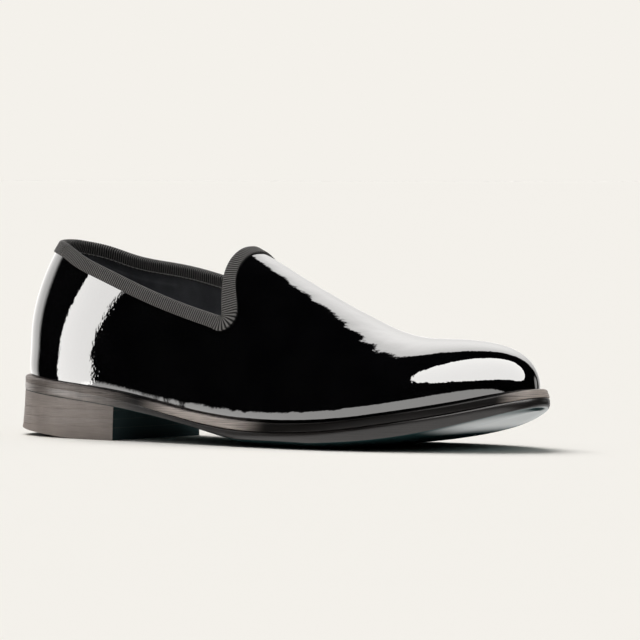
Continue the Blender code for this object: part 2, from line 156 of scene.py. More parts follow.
@dataclass(frozen=True)
class Last:
    """Form that the shoe is made on, from the heel seat to the tip of the toe.

    A turn runs from 0 at the back seam to pi at the toe tip, and an arch or a share of the girth
    from 0 at the feather edge up to the ridge.
    """

    length: float = 290.0
    ball_width: float = 88.0
    instep_rise: float = 82.0
    heel_end: Span = (62.0, 2.7)
    heel_pinch: float = 0.12
    pinch_height: float = 70.0
    pinch_reach: float = 90.0
    toe_end: Span = (82.0, 2.15)
    toe_dome: Span = (54.0, 2.2)
    back_bulge_height: float = 18.0
    back_radius: float = 74.0
    back_undercut: float = 0.45
    back_reach: float = 105.0
    back_shift: float = 4.5
    bulge_height: float = 20.0
    bulge_peak: float = 27 / 256
    narrow_end: float = 20.0
    girth_samples: int = 96
    slope_step: float = 1e-3
    origin: Point = (-142.8223, 1.8131, 0.0)
    sections: Measures = Measures(
        ("station", "width", "swing", "feather", "rise", "ridge", "fullness", "bulge"),
        (
            (0.00, 0.695, 3.4, 29.5, 1.000, 0.0, 3.4, 1.0),
            (0.10, 0.695, 0.0, 27.6, 1.000, 1.0, 3.4, 0.3),
            (0.25, 0.670, -5.4, 23.4, 0.985, 5.0, 3.0, 0.6),
            (0.40, 0.705, -8.9, 16.8, 0.985, 7.6, 2.4, 1.2),
            (0.52, 0.852, -6.4, 12.9, 0.843, 4.4, 2.1, 1.2),
            (0.64, 0.977, -3.7, 12.2, 0.644, 3.4, 1.9, 1.1),
            (0.74, 1.000, -1.0, 14.0, 0.482, 3.5, 1.9, 1.1),
            (0.84, 0.932, 2.5, 18.2, 0.402, 2.0, 2.0, 1.0),
            (0.93, 0.818, 4.5, 23.3, 0.378, 1.0, 2.2, 0.8),
            (1.00, 0.705, 5.5, 28.5, 0.366, 0.0, 2.2, 0.5),
        ),
    )

    def placed(self, points: Array) -> Array:
        """Points of the last's own frame in the shoe's frame, in metres."""
        return (points + np.array(self.origin)) * MM

    def along(self, turn: Array) -> Array:
        """Distance from the heel seat at a turn."""
        return self.length / 2 * (1 - np.cos(turn))

    def turn(self, along: Array) -> Array:
        """Turn at a distance from the heel seat."""
        return np.arccos(np.clip(1 - 2 * np.asarray(along) / self.length, -1, 1))

    def section(self, name: str, along: Array) -> Array:
        """Named measure of the section at a distance from the heel seat."""
        return self.sections.read(name, np.asarray(along) / self.length)

    def half_width(self, along: Array) -> Array:
        """Half width of the feather edge at a distance from the heel seat."""
        ends = rounded_end(along, self.heel_end) * rounded_end(self.length - along, self.toe_end)
        return self.section("width", along) * self.ball_width / 2 * ends

    def back_lean(self, along: Array, height: Array) -> Array:
        """How far the heel's curved back stands in from its fullest point.

        Args:
            along: distances from the heel seat.
            height: heights over the feather edge.

        Returns:
            The shift forwards at each place.
        """
        above = height - self.back_bulge_height
        hollow = 1 - self.back_undercut * (1 - np.tanh(above / self.back_bulge_height * 2))
        lean = above ** 2 / (2 * self.back_radius) * hollow - self.back_shift
        return lean * ease(1 - along / self.back_reach)

    def arch_point(self, turn: Array, arch: Array, side: Side) -> Array:
        """Points of the surface.

        Args:
            turn: turns from the back seam to the toe tip.
            arch: angles from 0 at the feather edge to pi / 2 on the ridge.
            side: side of the foot.

        Returns:
            Points, with x, y and z in the last axis.
        """
        along = self.along(turn)
        climb = np.sin(arch) ** (2 / self.section("fullness", along))
        rise = self.section("rise", along) * self.instep_rise
        height = rise * rounded_end(self.length - along, self.toe_dome) * climb
        width = self.half_width(along)
        slim = ease(width / self.narrow_end)
        low = np.clip(height / self.bulge_height, 0, 1)
        bulge = self.section("bulge", along) * slim * low * (1 - low) ** 3 / self.bulge_peak
        ridge = self.section("ridge", along) * slim * climb ** 2
        across = self.section("swing", along) + ridge
        pinched = ease(height / self.pinch_height) * ease(1 - along / self.pinch_reach)
        pinch = 1 - self.heel_pinch * pinched
        return np.stack([
            along + self.back_lean(along, height),
            across + side.value * (width * pinch + bulge) * np.cos(arch),
            self.section("feather", along) + height,
        ], axis=-1)

    def girth_point(self, turn: Array, share: Array, side: Side) -> tuple[Array, Array]:
        """Points of the surface at shares of the girth.

        Args:
            turn: turns from the back seam to the toe tip.
            share: shares of the girth, 0 at the feather edge and 1 on the ridge.
            side: side of the foot.

        Returns:
            Points, and the whole girth of the half section that each lies on.
        """
        turn, share = np.broadcast_arrays(np.asarray(turn, float), np.asarray(share, float))
        arches = np.linspace(0, np.pi / 2, self.girth_samples)
        girth = run_length(self.arch_point(turn[..., None], arches, side))
        arch = np.empty(turn.shape)
        for place in np.ndindex(turn.shape):
            wanted = np.clip(share[place], 0, 1) * girth[place][-1]
            arch[place] = np.interp(wanted, girth[place], arches)
        return self.arch_point(turn, arch, side), girth[..., -1]

    def slopes(self, turn: Array, share: Array, side: Side) -> tuple[Array, Array, Array]:
        """Slopes of the surface along turn and share, and its outward normals.

        Args:
            turn: turns from the back seam to the toe tip.
            share: shares of the girth.
            side: side of the foot.

        Returns:
            Slope along turn, slope along share and outward normal at each place.
        """
        step = self.slope_step
        turns = np.maximum(turn - step, 0), np.minimum(turn + step, np.pi)
        shares = np.maximum(share - step, 0), np.minimum(share + step, 1)
        low, high = (self.girth_point(t, share, side)[0] for t in turns)
        along_turn = (high - low) / (turns[1] - turns[0])[..., None]
        low, high = (self.girth_point(turn, s, side)[0] for s in shares)
        along_share = (high - low) / (shares[1] - shares[0])[..., None]
        normal = unit(np.cross(along_turn, along_share) * -side.value)
        return along_turn, along_share, normal

    def feather_outline(self, turn: Array, side: Side, outset: Array) -> Array:
        """Feather edge in plan, moved outwards square to itself.

        Args:
            turn: turns from the back seam to the toe tip.
            side: side of the foot.
            outset: how far outwards at each turn.

        Returns:
            Points in plan, x and y.
        """
        turn = np.asarray(turn, float)

        def edge(at: Array) -> Array:
            """Feather edge itself.

            Args:
                at: turns from the back seam to the toe tip.

            Returns:
                Points in plan.
            """
            along = self.along(at)
            across = self.section("swing", along) + side.value * self.half_width(along)
            return np.stack([along + self.back_lean(along, 0.0), across], axis=-1)

        step = self.slope_step
        tangent = edge(np.minimum(turn + step, np.pi)) - edge(np.maximum(turn - step, 0))
        outward = np.stack([-tangent[..., 1], tangent[..., 0]], axis=-1) * side.value
        outward[turn <= 0] = (-1, 0)
        outward[turn >= np.pi] = (1, 0)
        return edge(turn) + unit(outward) * np.asarray(outset)[..., None]


@dataclass(frozen=True)
class Topline:
    """Open edge of the upper: both quarters' collars, the throats and the tongue's free edge."""

    last: Last
    throat: float = 138.5
    throat_rounding: float = 3.2
    ribbon_width: float = 5.2
    corner_spread: float = 0.4
    quarter_columns: int = 130
    throat_columns: int = 22
    tongue_columns: int = 84
    walk_steps: int = 8
    ribbon_rows: int = 4
    back_crowding: float = 1.6
    collar: Measures = Measures(("along", "lateral", "medial"), (
        (0.0, 68.0, 68.0),
        (14.0, 67.0, 65.8),
        (32.0, 62.4, 61.4),
        (58.0, 56.5, 59.0),
        (88.0, 51.3, 58.4),
        (112.0, 48.7, 56.6),
        (138.5, 46.6, 53.2),
    ))
    tongue: Measures = Measures(("climb", "setback"), (
        (0.00, 0.0),
        (0.25, 4.4),
        (0.50, 8.2),
        (0.75, 9.4),
        (1.00, 8.6),
    ))

    def pattern(self, side: Side) -> tuple[Array, Array, Array]:
        """Topline of one half on the flat pattern, from the back seam to the ridge.

        Args:
            side: side of the foot.

        Returns:
            Distances along the last, girths above the feather edge, and how far each point is up
            the tongue: 0 for the quarter, then up to 1 on the ridge.
        """
        name = side.name.lower()
        corner = self.collar.read(name, self.throat)
        quarter_turn = np.linspace(0, np.pi / 2, self.quarter_columns + 1)
        along = (self.throat - self.throat_rounding) * (1 - np.cos(quarter_turn) ** self.back_crowding)
        quarter = np.stack([along, self.collar.read(name, along)], axis=-1)

        ridge = self.throat - self.tongue.column("setback")[-1]
        whole = self.last.girth_point(self.last.turn(ridge), 1.0, side)[1]
        first = self.throat_rounding / (whole - corner)
        climb = np.linspace(first, 1, self.tongue_columns + 1)
        setback = self.tongue.read("setback", climb)
        tongue = np.stack([self.throat - setback, corner + climb * (whole - corner)], axis=-1)

        bend = inner_shares(self.throat_columns)[:, None]
        point = np.array([self.throat, corner])
        fillet = (1 - bend) ** 2 * quarter[-1] + 2 * bend * (1 - bend) * point + bend ** 2 * tongue[0]

        path = np.concatenate([quarter, fillet, tongue])
        climbing = np.linspace(0, 1, len(fillet) + len(tongue) + 1)[1:]
        forward = np.concatenate([np.zeros(len(quarter)), climbing])
        return path[:, 0], path[:, 1], forward

    def walk(self, side: Side) -> tuple[Array, Array, Array]:
        """Rows of the surface below the topline, as far down as the ribbon reaches.

        Args:
            side: side of the foot.

        Returns:
            Turns and shares, with a row for each distance below the edge, and how far up the
            tongue each column is.
        """
        last = self.last
        along, girth, forward = self.pattern(side)
        turn = last.turn(along)
        share = girth / last.girth_point(turn, 1.0, side)[1]
        share[-1] = 1.0
        rows = [(turn, share)]
        corner = np.arange(len(along)) - self.quarter_columns - self.throat_columns
        spread = 1 + self.corner_spread * np.exp(-(corner / self.throat_columns) ** 2)
        stride = self.ribbon_width / self.walk_steps * spread
        for step in range(1, self.walk_steps + 1):
            points = last.girth_point(turn, share, side)[0]
            tangent = np.gradient(points, axis=0)
            tangent[0], tangent[-1] = (0, side.value, 0), (0, -side.value, 0)
            along_turn, along_share, normal = last.slopes(turn, share, side)
            away = unit(np.cross(normal, tangent) * side.value) * stride[:, None]
            move = np.stack([
                np.linalg.lstsq(np.stack([t, s], axis=-1), a, rcond=None)[0]
                for t, s, a in zip(along_turn, along_share, away)
            ])
            turn = np.maximum(turn + move[:, 0], 0)
            share = np.minimum(share + move[:, 1], 1)
            turn[0], share[-1] = 0.0, 1.0
            if step % (self.walk_steps // self.ribbon_rows) == 0:
                rows.append((turn, share))
        turns, shares = (np.stack(values) for values in zip(*rows))
        return turns, shares, forward

    def half(self, side: Side, rows: int) -> tuple[Array, Array]:
        """Grid over one half of the upper, from the topline to the feather edge.

        Args:
            side: side of the foot.
            rows: rows below the ribbon.

        Returns:
            Turns and shares, a row for each line round the shoe.
        """
        last = self.last
        turns, shares, forward = self.walk(side)
        start, end = last.along(turns[-1]), np.empty(len(forward))
        quarter = forward == 0
        end[quarter] = start[quarter]
        throat = start[quarter][-1]
        end[~quarter] = throat + (last.length - throat) * np.sin(forward[~quarter] * np.pi / 2)
        out_start = last.half_width(start) * (1 - shares[-1])
        out_end = last.half_width(end)
        more = []
        for down in np.linspace(0, 1, rows + 1)[1:]:
            way = down + (np.sin(down * np.pi / 2) - down) * forward
            along = start + (end - start) * way
            width = np.maximum(last.half_width(along), last.slope_step)
            out = out_start + (out_end - out_start) * way
            share = np.clip(1 - out / width, 0, 1)
            share[quarter] = (shares[-1] * (1 - way))[quarter]
            share[-1] = 1.0
            more.append((last.turn(along), share if down < 1 else np.zeros_like(share)))
        more_turns, more_shares = (np.stack(values) for values in zip(*more))
        return np.concatenate([turns, more_turns]), np.concatenate([shares, more_shares])


def ring(lateral: Array, medial: Array) -> Array:
    """Joins two halves into one ring: outer side to the ridge, then back along the inner side."""
    return np.concatenate([lateral, medial[:, -2:0:-1]], axis=1)


def grid_normals(points: Array) -> Array:
    """Normals of a grid of points whose last column joins the first.

    Args:
        points: grid of points, rows first.

    Returns:
        A unit normal for each point, along the cross of its columns and rows.
    """
    wide = np.concatenate([points[:, -1:], points, points[:, :1]], axis=1)
    across = wide[:, 2:] - wide[:, :-2]
    return unit(np.cross(across, np.gradient(points, axis=0)))


class Weaver:
    """Turns grids of points into finished mesh objects that ride on the shoe."""

    def __init__(self, last: Last) -> None:
        """Keeps the last, whose frame the points are in."""
        self.last = last

    def mesh(self, name: str, points: Array, run: Array | None = None,
             close_rows: bool = False) -> bpy.types.Object:
        """Object from a grid of points whose last column joins the first.

        Args:
            name: name of the piece.
            points: grid of points in the last's frame, rows first.
            run: a vector for each point, kept for the finish as the attribute "run".
            close_rows: whether the last row joins the first.

        Returns:
            The finished object.
        """
        rows, columns = points.shape[:2]
        index = np.arange(rows * columns).reshape(rows, columns)
        if close_rows:
            index = np.concatenate([index, index[:1]])
        beside = np.roll(index, -1, axis=1)
        quads = np.stack([index[:-1], index[1:], beside[1:], beside[:-1]], axis=-1).reshape(-1, 4)
        mesh = bpy.data.meshes.new(name)
        mesh.from_pydata(self.last.placed(points.reshape(-1, 3)), [], quads.tolist())
        if run is not None:
            layer = mesh.attributes.new("run", "FLOAT_VECTOR", "POINT")
            layer.data.foreach_set("vector", run.reshape(-1, 3).astype(np.float32).ravel())
        return self.finished(name, mesh)

    def finished(self, name: str, mesh: bpy.types.Mesh) -> bpy.types.Object:
        """Welds a mesh where its borders meet, smooths it and puts it in the scene.

        Args:
            name: name of the piece.
            mesh: mesh of the piece.

        Returns:
            The object, riding on the shoe.
        """
        bm = bmesh.new()
        bm.from_mesh(mesh)
        bmesh.ops.remove_doubles(bm, verts=bm.verts, dist=WELD * MM)
        bmesh.ops.dissolve_degenerate(bm, edges=bm.edges, dist=WELD * MM / 4)
        bm.to_mesh(mesh)
        bm.free()
        mesh.shade_smooth()
        mesh.set_sharp_from_angle(angle=np.radians(SHARP_ANGLE))
        piece = bpy.data.objects.new(name, mesh)
        bpy.context.scene.collection.objects.link(piece)
        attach(piece, BODY)
        LOG.info("%s: %d faces", name, len(mesh.polygons))
        return piece


class Value:
    """A socket that takes part in Python expressions, each of which adds a Math node."""

    def __init__(self, nodes: "Nodes", socket: bpy.types.NodeSocket) -> None:
        """Keeps the socket and the nodes that it belongs to."""
        self.nodes = nodes
        self.socket = socket

    def __add__(self, other: "Value | float") -> "Value":
        """Sum."""
        return self.nodes.math("ADD", self, other)

    def __radd__(self, other: float) -> "Value":
        """Sum with a number on the left."""
        return self.nodes.math("ADD", other, self)

    def __sub__(self, other: "Value | float") -> "Value":
        """Difference."""
        return self.nodes.math("SUBTRACT", self, other)

    def __rsub__(self, other: float) -> "Value":
        """Difference from a number on the left."""
        return self.nodes.math("SUBTRACT", other, self)

    def __mul__(self, other: "Value | float") -> "Value":
        """Product."""
        return self.nodes.math("MULTIPLY", self, other)

    def __rmul__(self, other: float) -> "Value":
        """Product with a number on the left."""
        return self.nodes.math("MULTIPLY", other, self)

    def step(self, low: float, high: float) -> "Value":
        """Smooth step from 0 at low to 1 at high."""
        node = self.nodes.node("ShaderNodeMapRange", {"interpolation_type": "SMOOTHSTEP"}, {
            "Value": self, "From Min": low, "From Max": high})
        return Value(self.nodes, node.outputs["Result"])

    def between(self, low: float, high: float) -> "Value":
        """Low where this is 0, high where it is 1."""
        return low + (high - low) * self


Link = Value | float | Sequence[float] | bpy.types.NodeSocket


class Nodes:
    """A node tree under construction."""

    def __init__(self, owner: bpy.types.ID) -> None:
        """Starts on the node tree of a material or a world."""
        owner.use_nodes = True
        self.tree = owner.node_tree

    def node(self, kind: str, settings: dict[str, Any], sockets: dict[str | int, Link]) -> bpy.types.Node:
        """Adds a node.

        Args:
            kind: type of the node.
            settings: settings of the node, set first.
            sockets: values or links of its inputs, by name or number.

        Returns:
            The node.
        """
        node = self.tree.nodes.new(kind)
        for name, setting in settings.items():
            setattr(node, name, setting)
        for name, link in sockets.items():
            self.join(link, node.inputs[name])
        return node

    def join(self, link: Link, socket: bpy.types.NodeSocket) -> None:
        """Sets a socket to a value, or links another socket to it.

        Args:
            link: the value or the other socket.
            socket: the socket that takes it.
        """
        if isinstance(link, Value):
            link = link.socket
        if isinstance(link, bpy.types.NodeSocket):
            self.tree.links.new(link, socket)
        elif socket.type == "RGBA" and len(link) == 3:
            socket.default_value = (*link, 1.0)
        else:
            socket.default_value = link

    def math(self, operation: str, *values: Link) -> Value:
        """Math node of the given operation on values."""
        node = self.node("ShaderNodeMath", {"operation": operation}, dict(enumerate(values)))
        return Value(self, node.outputs[0])


class Paint(Nodes):
    """A material under construction, with its Principled shader."""

    def __init__(self, name: str) -> None:
        """Starts a material of the given name."""
        self.material = bpy.data.materials.new(name)
        super().__init__(self.material)
        self.shader = self.tree.nodes["Principled BSDF"]

    def place(self) -> bpy.types.NodeSocket:
        """Place on the shoe, in metres."""
        return self.node("ShaderNodeTexCoord", {}, {}).outputs["Object"]

    def run(self) -> bpy.types.NodeSocket:
        """The piece's own run: millimetres along, millimetres across and a mask."""
        return self.node("ShaderNodeAttribute", {"attribute_name": "run"}, {}).outputs["Vector"]

    def parts(self, vector: bpy.types.NodeSocket) -> tuple[Value, Value, Value]:
        """Splits a vector.

        Args:
            vector: the vector.

        Returns:
            Its three numbers.
        """
        node = self.node("ShaderNodeSeparateXYZ", {}, {0: vector})
        x, y, z = (Value(self, socket) for socket in node.outputs)
        return x, y, z

    def scaled(self, vector: bpy.types.NodeSocket, scale: Sequence[float]) -> bpy.types.NodeSocket:
        """A vector with each of its numbers multiplied."""
        node = self.node("ShaderNodeVectorMath", {"operation": "MULTIPLY"}, {0: vector, 1: scale})
        return node.outputs["Vector"]

    def noise(self, vector: bpy.types.NodeSocket, scale: float, detail: float = 2.0,
              roughness: float = 0.5) -> Value:
        """Cloudy noise from 0 to 1.

        Args:
            vector: place that the noise is read at.
            scale: waves for each unit of the place.
            detail: number of finer layers.
            roughness: strength of the finer layers.

        Returns:
            The noise.
        """
        node = self.node("ShaderNodeTexNoise", {}, {
            "Vector": vector, "Scale": scale, "Detail": detail, "Roughness": roughness})
        return Value(self, node.outputs["Fac"])

    def cells(self, vector: bpy.types.NodeSocket, scale: float, smoothness: float = 0.4) -> Value:
        """Distance from the middle of the nearest cell, as in leather grain."""
        node = self.node("ShaderNodeTexVoronoi", {"feature": "SMOOTH_F1"}, {
            "Vector": vector, "Scale": scale, "Smoothness": smoothness})
        return Value(self, node.outputs["Distance"])

    def blend(self, low: Link, high: Link, factor: Link) -> bpy.types.NodeSocket:
        """Mix of two colours."""
        node = self.node("ShaderNodeMix", {"data_type": "RGBA"}, {0: factor, 6: low, 7: high})
        return node.outputs[2]

    def bump(self, height: Value, distance: float) -> bpy.types.NodeSocket:
        """Normal of a surface raised by a height, where 1 stands for a distance in millimetres."""
        node = self.node("ShaderNodeBump", {}, {"Height": height, "Distance": distance * MM})
        return node.outputs["Normal"]

    def finish(self, **sockets: Link) -> bpy.types.Material:
        """Sets the shader's sockets, named with underscores for spaces.

        Args:
            sockets: values or links of the shader's inputs.

        Returns:
            The material.
        """
        for name, link in sockets.items():
            self.join(link, self.shader.inputs[name.replace("_", " ")])
        return self.material


@dataclass(frozen=True)
class PatentLeather:
    """Black lacquered leather: a mirror coat over faint grain, pulled smooth at the heel and toe."""

    colour: Colour = (0.0022, 0.0022, 0.0026)
    deep: Colour = (0.0010, 0.0010, 0.0014)
    tone_scale: float = 40.0
    tone_span: Span = (0.35, 0.65)
    haze_span: Span = (0.4, 0.7)
    roughness: Span = (0.015, 0.025)
    grain_pitch: float = 1.6
    grain_height: float = 0.035
    grain_left: float = 0.4
    wave_pitch: float = 7.0
    wave_height: float = 0.24
    heel_calm: float = 0.08
    toe_calm: float = 0.3
    heel_place: Span = (-0.07, 0.01)
    toe_place: Span = (0.105, 0.075)

    def make(self) -> bpy.types.Material:
        """Makes the finish, whose waves are stronger over the vamp than at the heel and toe.

        Returns:
            The material.
        """
        paint = Paint("patent_leather")
        place = paint.place()
        tone = paint.noise(place, self.tone_scale, detail=3.0)
        grain = paint.noise(place, 1 / (self.grain_pitch * MM), detail=1.0)
        wave = paint.noise(place, 1 / (self.wave_pitch * MM), detail=0.0)
        along, _, _ = paint.parts(place)
        pull = along.step(*self.heel_place).between(self.heel_calm, 1.0)
        pull = pull * along.step(*self.toe_place).between(self.toe_calm, 1.0)
        fine = grain * pull.between(self.grain_left, 1.0) * (self.grain_height / self.wave_height)
        return paint.finish(
            Base_Color=paint.blend(self.deep, self.colour, tone.step(*self.tone_span)),
            Roughness=tone.step(*self.haze_span).between(*self.roughness),
            IOR=1.75,
            Coat_Weight=0.08,
            Coat_Roughness=0.03,
            Coat_IOR=1.6,
            Normal=paint.bump(fine + wave * pull, self.wave_height),
        )


@dataclass(frozen=True)
class GrosgrainRibbon:
    """Charcoal ribbon with ribs across it and a fine weave, and painted shade between the ribs."""

    rib: Colour = (0.255, 0.246, 0.238)
    # Painted shade: near black between the ribs, for the shade in the grooves
    gap: Colour = (0.006, 0.0057, 0.0055)
    groove_shade_span: Span = (0.3, 0.75)
    thread_pitch: float = 0.16
    thread_share: float = 0.25
    fuzz_scale: float = 2500.0
    fuzz_span: Span = (0.3, 0.7)
    fuzz_shade: float = 0.6
    fuzz_height: float = 0.05
    roughness: Span = (0.7, 0.9)

    def make(self) -> bpy.types.Material:
        """Makes the finish.

        Returns:
            The material.
        """
        paint = Paint("ribbon")
        _, across, crest = paint.parts(paint.run())
        thread = paint.math("SINE", across * (2 * np.pi / self.thread_pitch))
        fuzz = paint.noise(paint.place(), self.fuzz_scale, detail=3.0)
        # Painted shade: the colour goes dark away from each rib's crest
        tone = crest.step(*self.groove_shade_span) * fuzz.step(*self.fuzz_span).between(self.fuzz_shade, 1.0)
        return paint.finish(
            Base_Color=paint.blend(self.gap, self.rib, tone),
            Roughness=fuzz.between(*self.roughness),
            Specular_IOR_Level=0.2,
            Sheen_Weight=0.03,
            Sheen_Roughness=0.4,
            Normal=paint.bump(thread * self.thread_share + fuzz, self.fuzz_height),
        )


@dataclass(frozen=True)
class WaxedThread:
    """Grey sewing thread with a twist."""

    strand: Colour = (0.46, 0.45, 0.44)
    groove: Colour = (0.16, 0.155, 0.15)
    fibre_pitch: float = 0.12
    fibre_height: float = 0.03
    fibre_span: Span = (0.3, 0.6)
    roughness: Span = (0.5, 0.8)

    def make(self) -> bpy.types.Material:
        """Makes the finish.

        Returns:
            The material.
        """
        paint = Paint("thread")
        fibre = paint.noise(paint.place(), 1 / (self.fibre_pitch * MM))
        return paint.finish(
            Base_Color=paint.blend(self.groove, self.strand, fibre.step(*self.fibre_span)),
            Roughness=fibre.between(*self.roughness),
            Normal=paint.bump(fibre, self.fibre_height),
        )


@dataclass(frozen=True)
class LiningLeather:
    """Soft dark leather with small grain, used for the lining and the insole's cover."""

    name: str
    colour: Colour = (0.095, 0.099, 0.111)
    wear_and_highlight: Colour = (0.180, 0.186, 0.204)
    cloud_scale: float = 60.0
    cloud_span: Span = (0.3, 0.75)
    cloud_share: float = 0.7
    grain_pitch: float = 0.8
    grain_height: float = 0.05
    grain_share: float = 0.3
    fine_scale: float = 4000.0
    fine_share: float = 0.3
    roughness: Span = (0.42, 0.60)

    def make(self) -> bpy.types.Material:
        """Makes the finish.

        Returns:
            The material.
        """
        paint = Paint(self.name)
        place = paint.place()
        cloud = paint.noise(place, self.cloud_scale, detail=4.0, roughness=0.6)
        grain = paint.cells(place, 1 / (self.grain_pitch * MM))
        fine = paint.noise(place, self.fine_scale)
        tone = cloud.step(*self.cloud_span) * self.cloud_share + grain * self.grain_share
        return paint.finish(
            Base_Color=paint.blend(self.colour, self.wear_and_highlight, tone),
            Roughness=cloud.between(*self.roughness),
            Normal=paint.bump(grain + fine * self.fine_share, self.grain_height),
        )


@dataclass(frozen=True)
class BrushedEdge:
    """Dyed and burnished leather edge with brush lines along it."""

    name: str
    light: Colour = (0.020, 0.017, 0.016)
    dark: Colour = (0.0035, 0.0032, 0.0032)
    rear: Colour = (0.42, 0.365, 0.336)
    rear_place: Span = (-0.052, -0.080)
    # Painted highlight: a light warm colour streaked along the edge at the given places, standing in for
    # gloss
    wear_and_highlight: Colour = (0.62, 0.55, 0.51)
    painted_highlight_places: tuple[Span, ...] = ()
    painted_highlight_core: float = 0.4
    painted_highlight_lines: Span = (0.25, 0.55)
    under: Colour | None = None
    under_shade: float = 0.6
    under_span: Span = (0.35, 0.65)
    coat: float = 0.5
    gloss: float = 0.28
    toe_gloss: Span = (0.108, 0.130)
    line_pitch: float = 0.30
    line_length: float = 24.0
    line_height: float = 0.02
    line_span: Span = (0.25, 0.75)
    line_share: float = 0.5
    cloud_scale: float = 45.0
    cloud_span: Span = (0.3, 0.7)
    cloud_share: float = 0.35
    fibre_scale: float = 1400.0
    fibre_share: float = 0.15
    fibre_relief: float = 0.3
    roughness: Span = (0.45, 0.70)

    def make(self) -> bpy.types.Material:
        """Makes the finish, with painted highlights at given places and the painted under face where it
        has them.

        Returns:
            The material.
        """
        paint = Paint(self.name)
        run, place = paint.run(), paint.place()
        _, _, under = paint.parts(run)
        along, _, _ = paint.parts(place)
        brush = paint.scaled(run, (1 / self.line_length, 1 / self.line_pitch, 0.0))
        lines = paint.noise(brush, 1.0, detail=3.0, roughness=0.6)
        fibre = paint.noise(place, self.fibre_scale, detail=3.0)
        cloud = paint.noise(place, self.cloud_scale, detail=3.0)
        tone = lines.step(*self.line_span) * self.line_share + fibre * self.fibre_share
        tone = tone + cloud.step(*self.cloud_span) * self.cloud_share
        light = paint.blend(self.light, self.rear, along.step(*self.rear_place))
        colour = paint.blend(self.dark, light, tone)
        # Painted highlight: lighter colour along the brush lines at each given place
        for start, end in self.painted_highlight_places:
            middle, half = (start + end) / 2, (end - start) / 2
            painted_highlight_mask = paint.math("ABSOLUTE", along - middle).step(half, half * self.painted_highlight_core)
            colour = paint.blend(colour, self.wear_and_highlight, painted_highlight_mask * lines.step(*self.painted_highlight_lines))
        coat: Value | float = self.coat
        if self.under is not None:
            flat = under.step(*self.under_span)
            shade = tuple(part * self.under_shade for part in self.under)
            colour = paint.blend(colour, paint.blend(shade, self.under, cloud), flat)
            coat = self.coat * (1 - flat) + flat * along.step(*self.toe_gloss)
        relief = lines * (1 - self.fibre_relief) + fibre * self.fibre_relief
        return paint.finish(
            Base_Color=colour,
            Roughness=lines.between(*self.roughness),
            Specular_IOR_Level=0.0,
            Coat_Weight=coat,
            Coat_Roughness=self.gloss,
            Normal=paint.bump(relief, self.line_height),
        )


@dataclass(frozen=True)
class PaleFloor:
    """Matt paper sweep."""

    colour: Colour
    fibre_scale: float = 900.0
    fibre_shade: float = 0.995

    def make(self) -> bpy.types.Material:
        """Makes the finish.

        Returns:
            The material.
        """
        paint = Paint("pale_floor")
        fibre = paint.noise(paint.place(), self.fibre_scale)
        shade = tuple(part * self.fibre_shade for part in self.colour)
        return paint.finish(
            Base_Color=paint.blend(shade, self.colour, fibre),
            Roughness=1.0,
            Specular_IOR_Level=0.0,
        )


def dress(piece: bpy.types.Object, material: bpy.types.Material, slot: str, *nodes: str) -> None:
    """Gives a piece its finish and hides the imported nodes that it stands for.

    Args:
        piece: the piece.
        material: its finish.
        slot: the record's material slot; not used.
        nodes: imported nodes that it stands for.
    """
    piece.data.materials.clear()
    piece.data.materials.append(material)
    if nodes:
        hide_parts(*nodes)


@dataclass(frozen=True)
class Crease:
    """A soft trough or ridge of the leather, drawn between two places on one side."""

    side: Side
    start: Span
    end: Span
    width: float
    depth: float


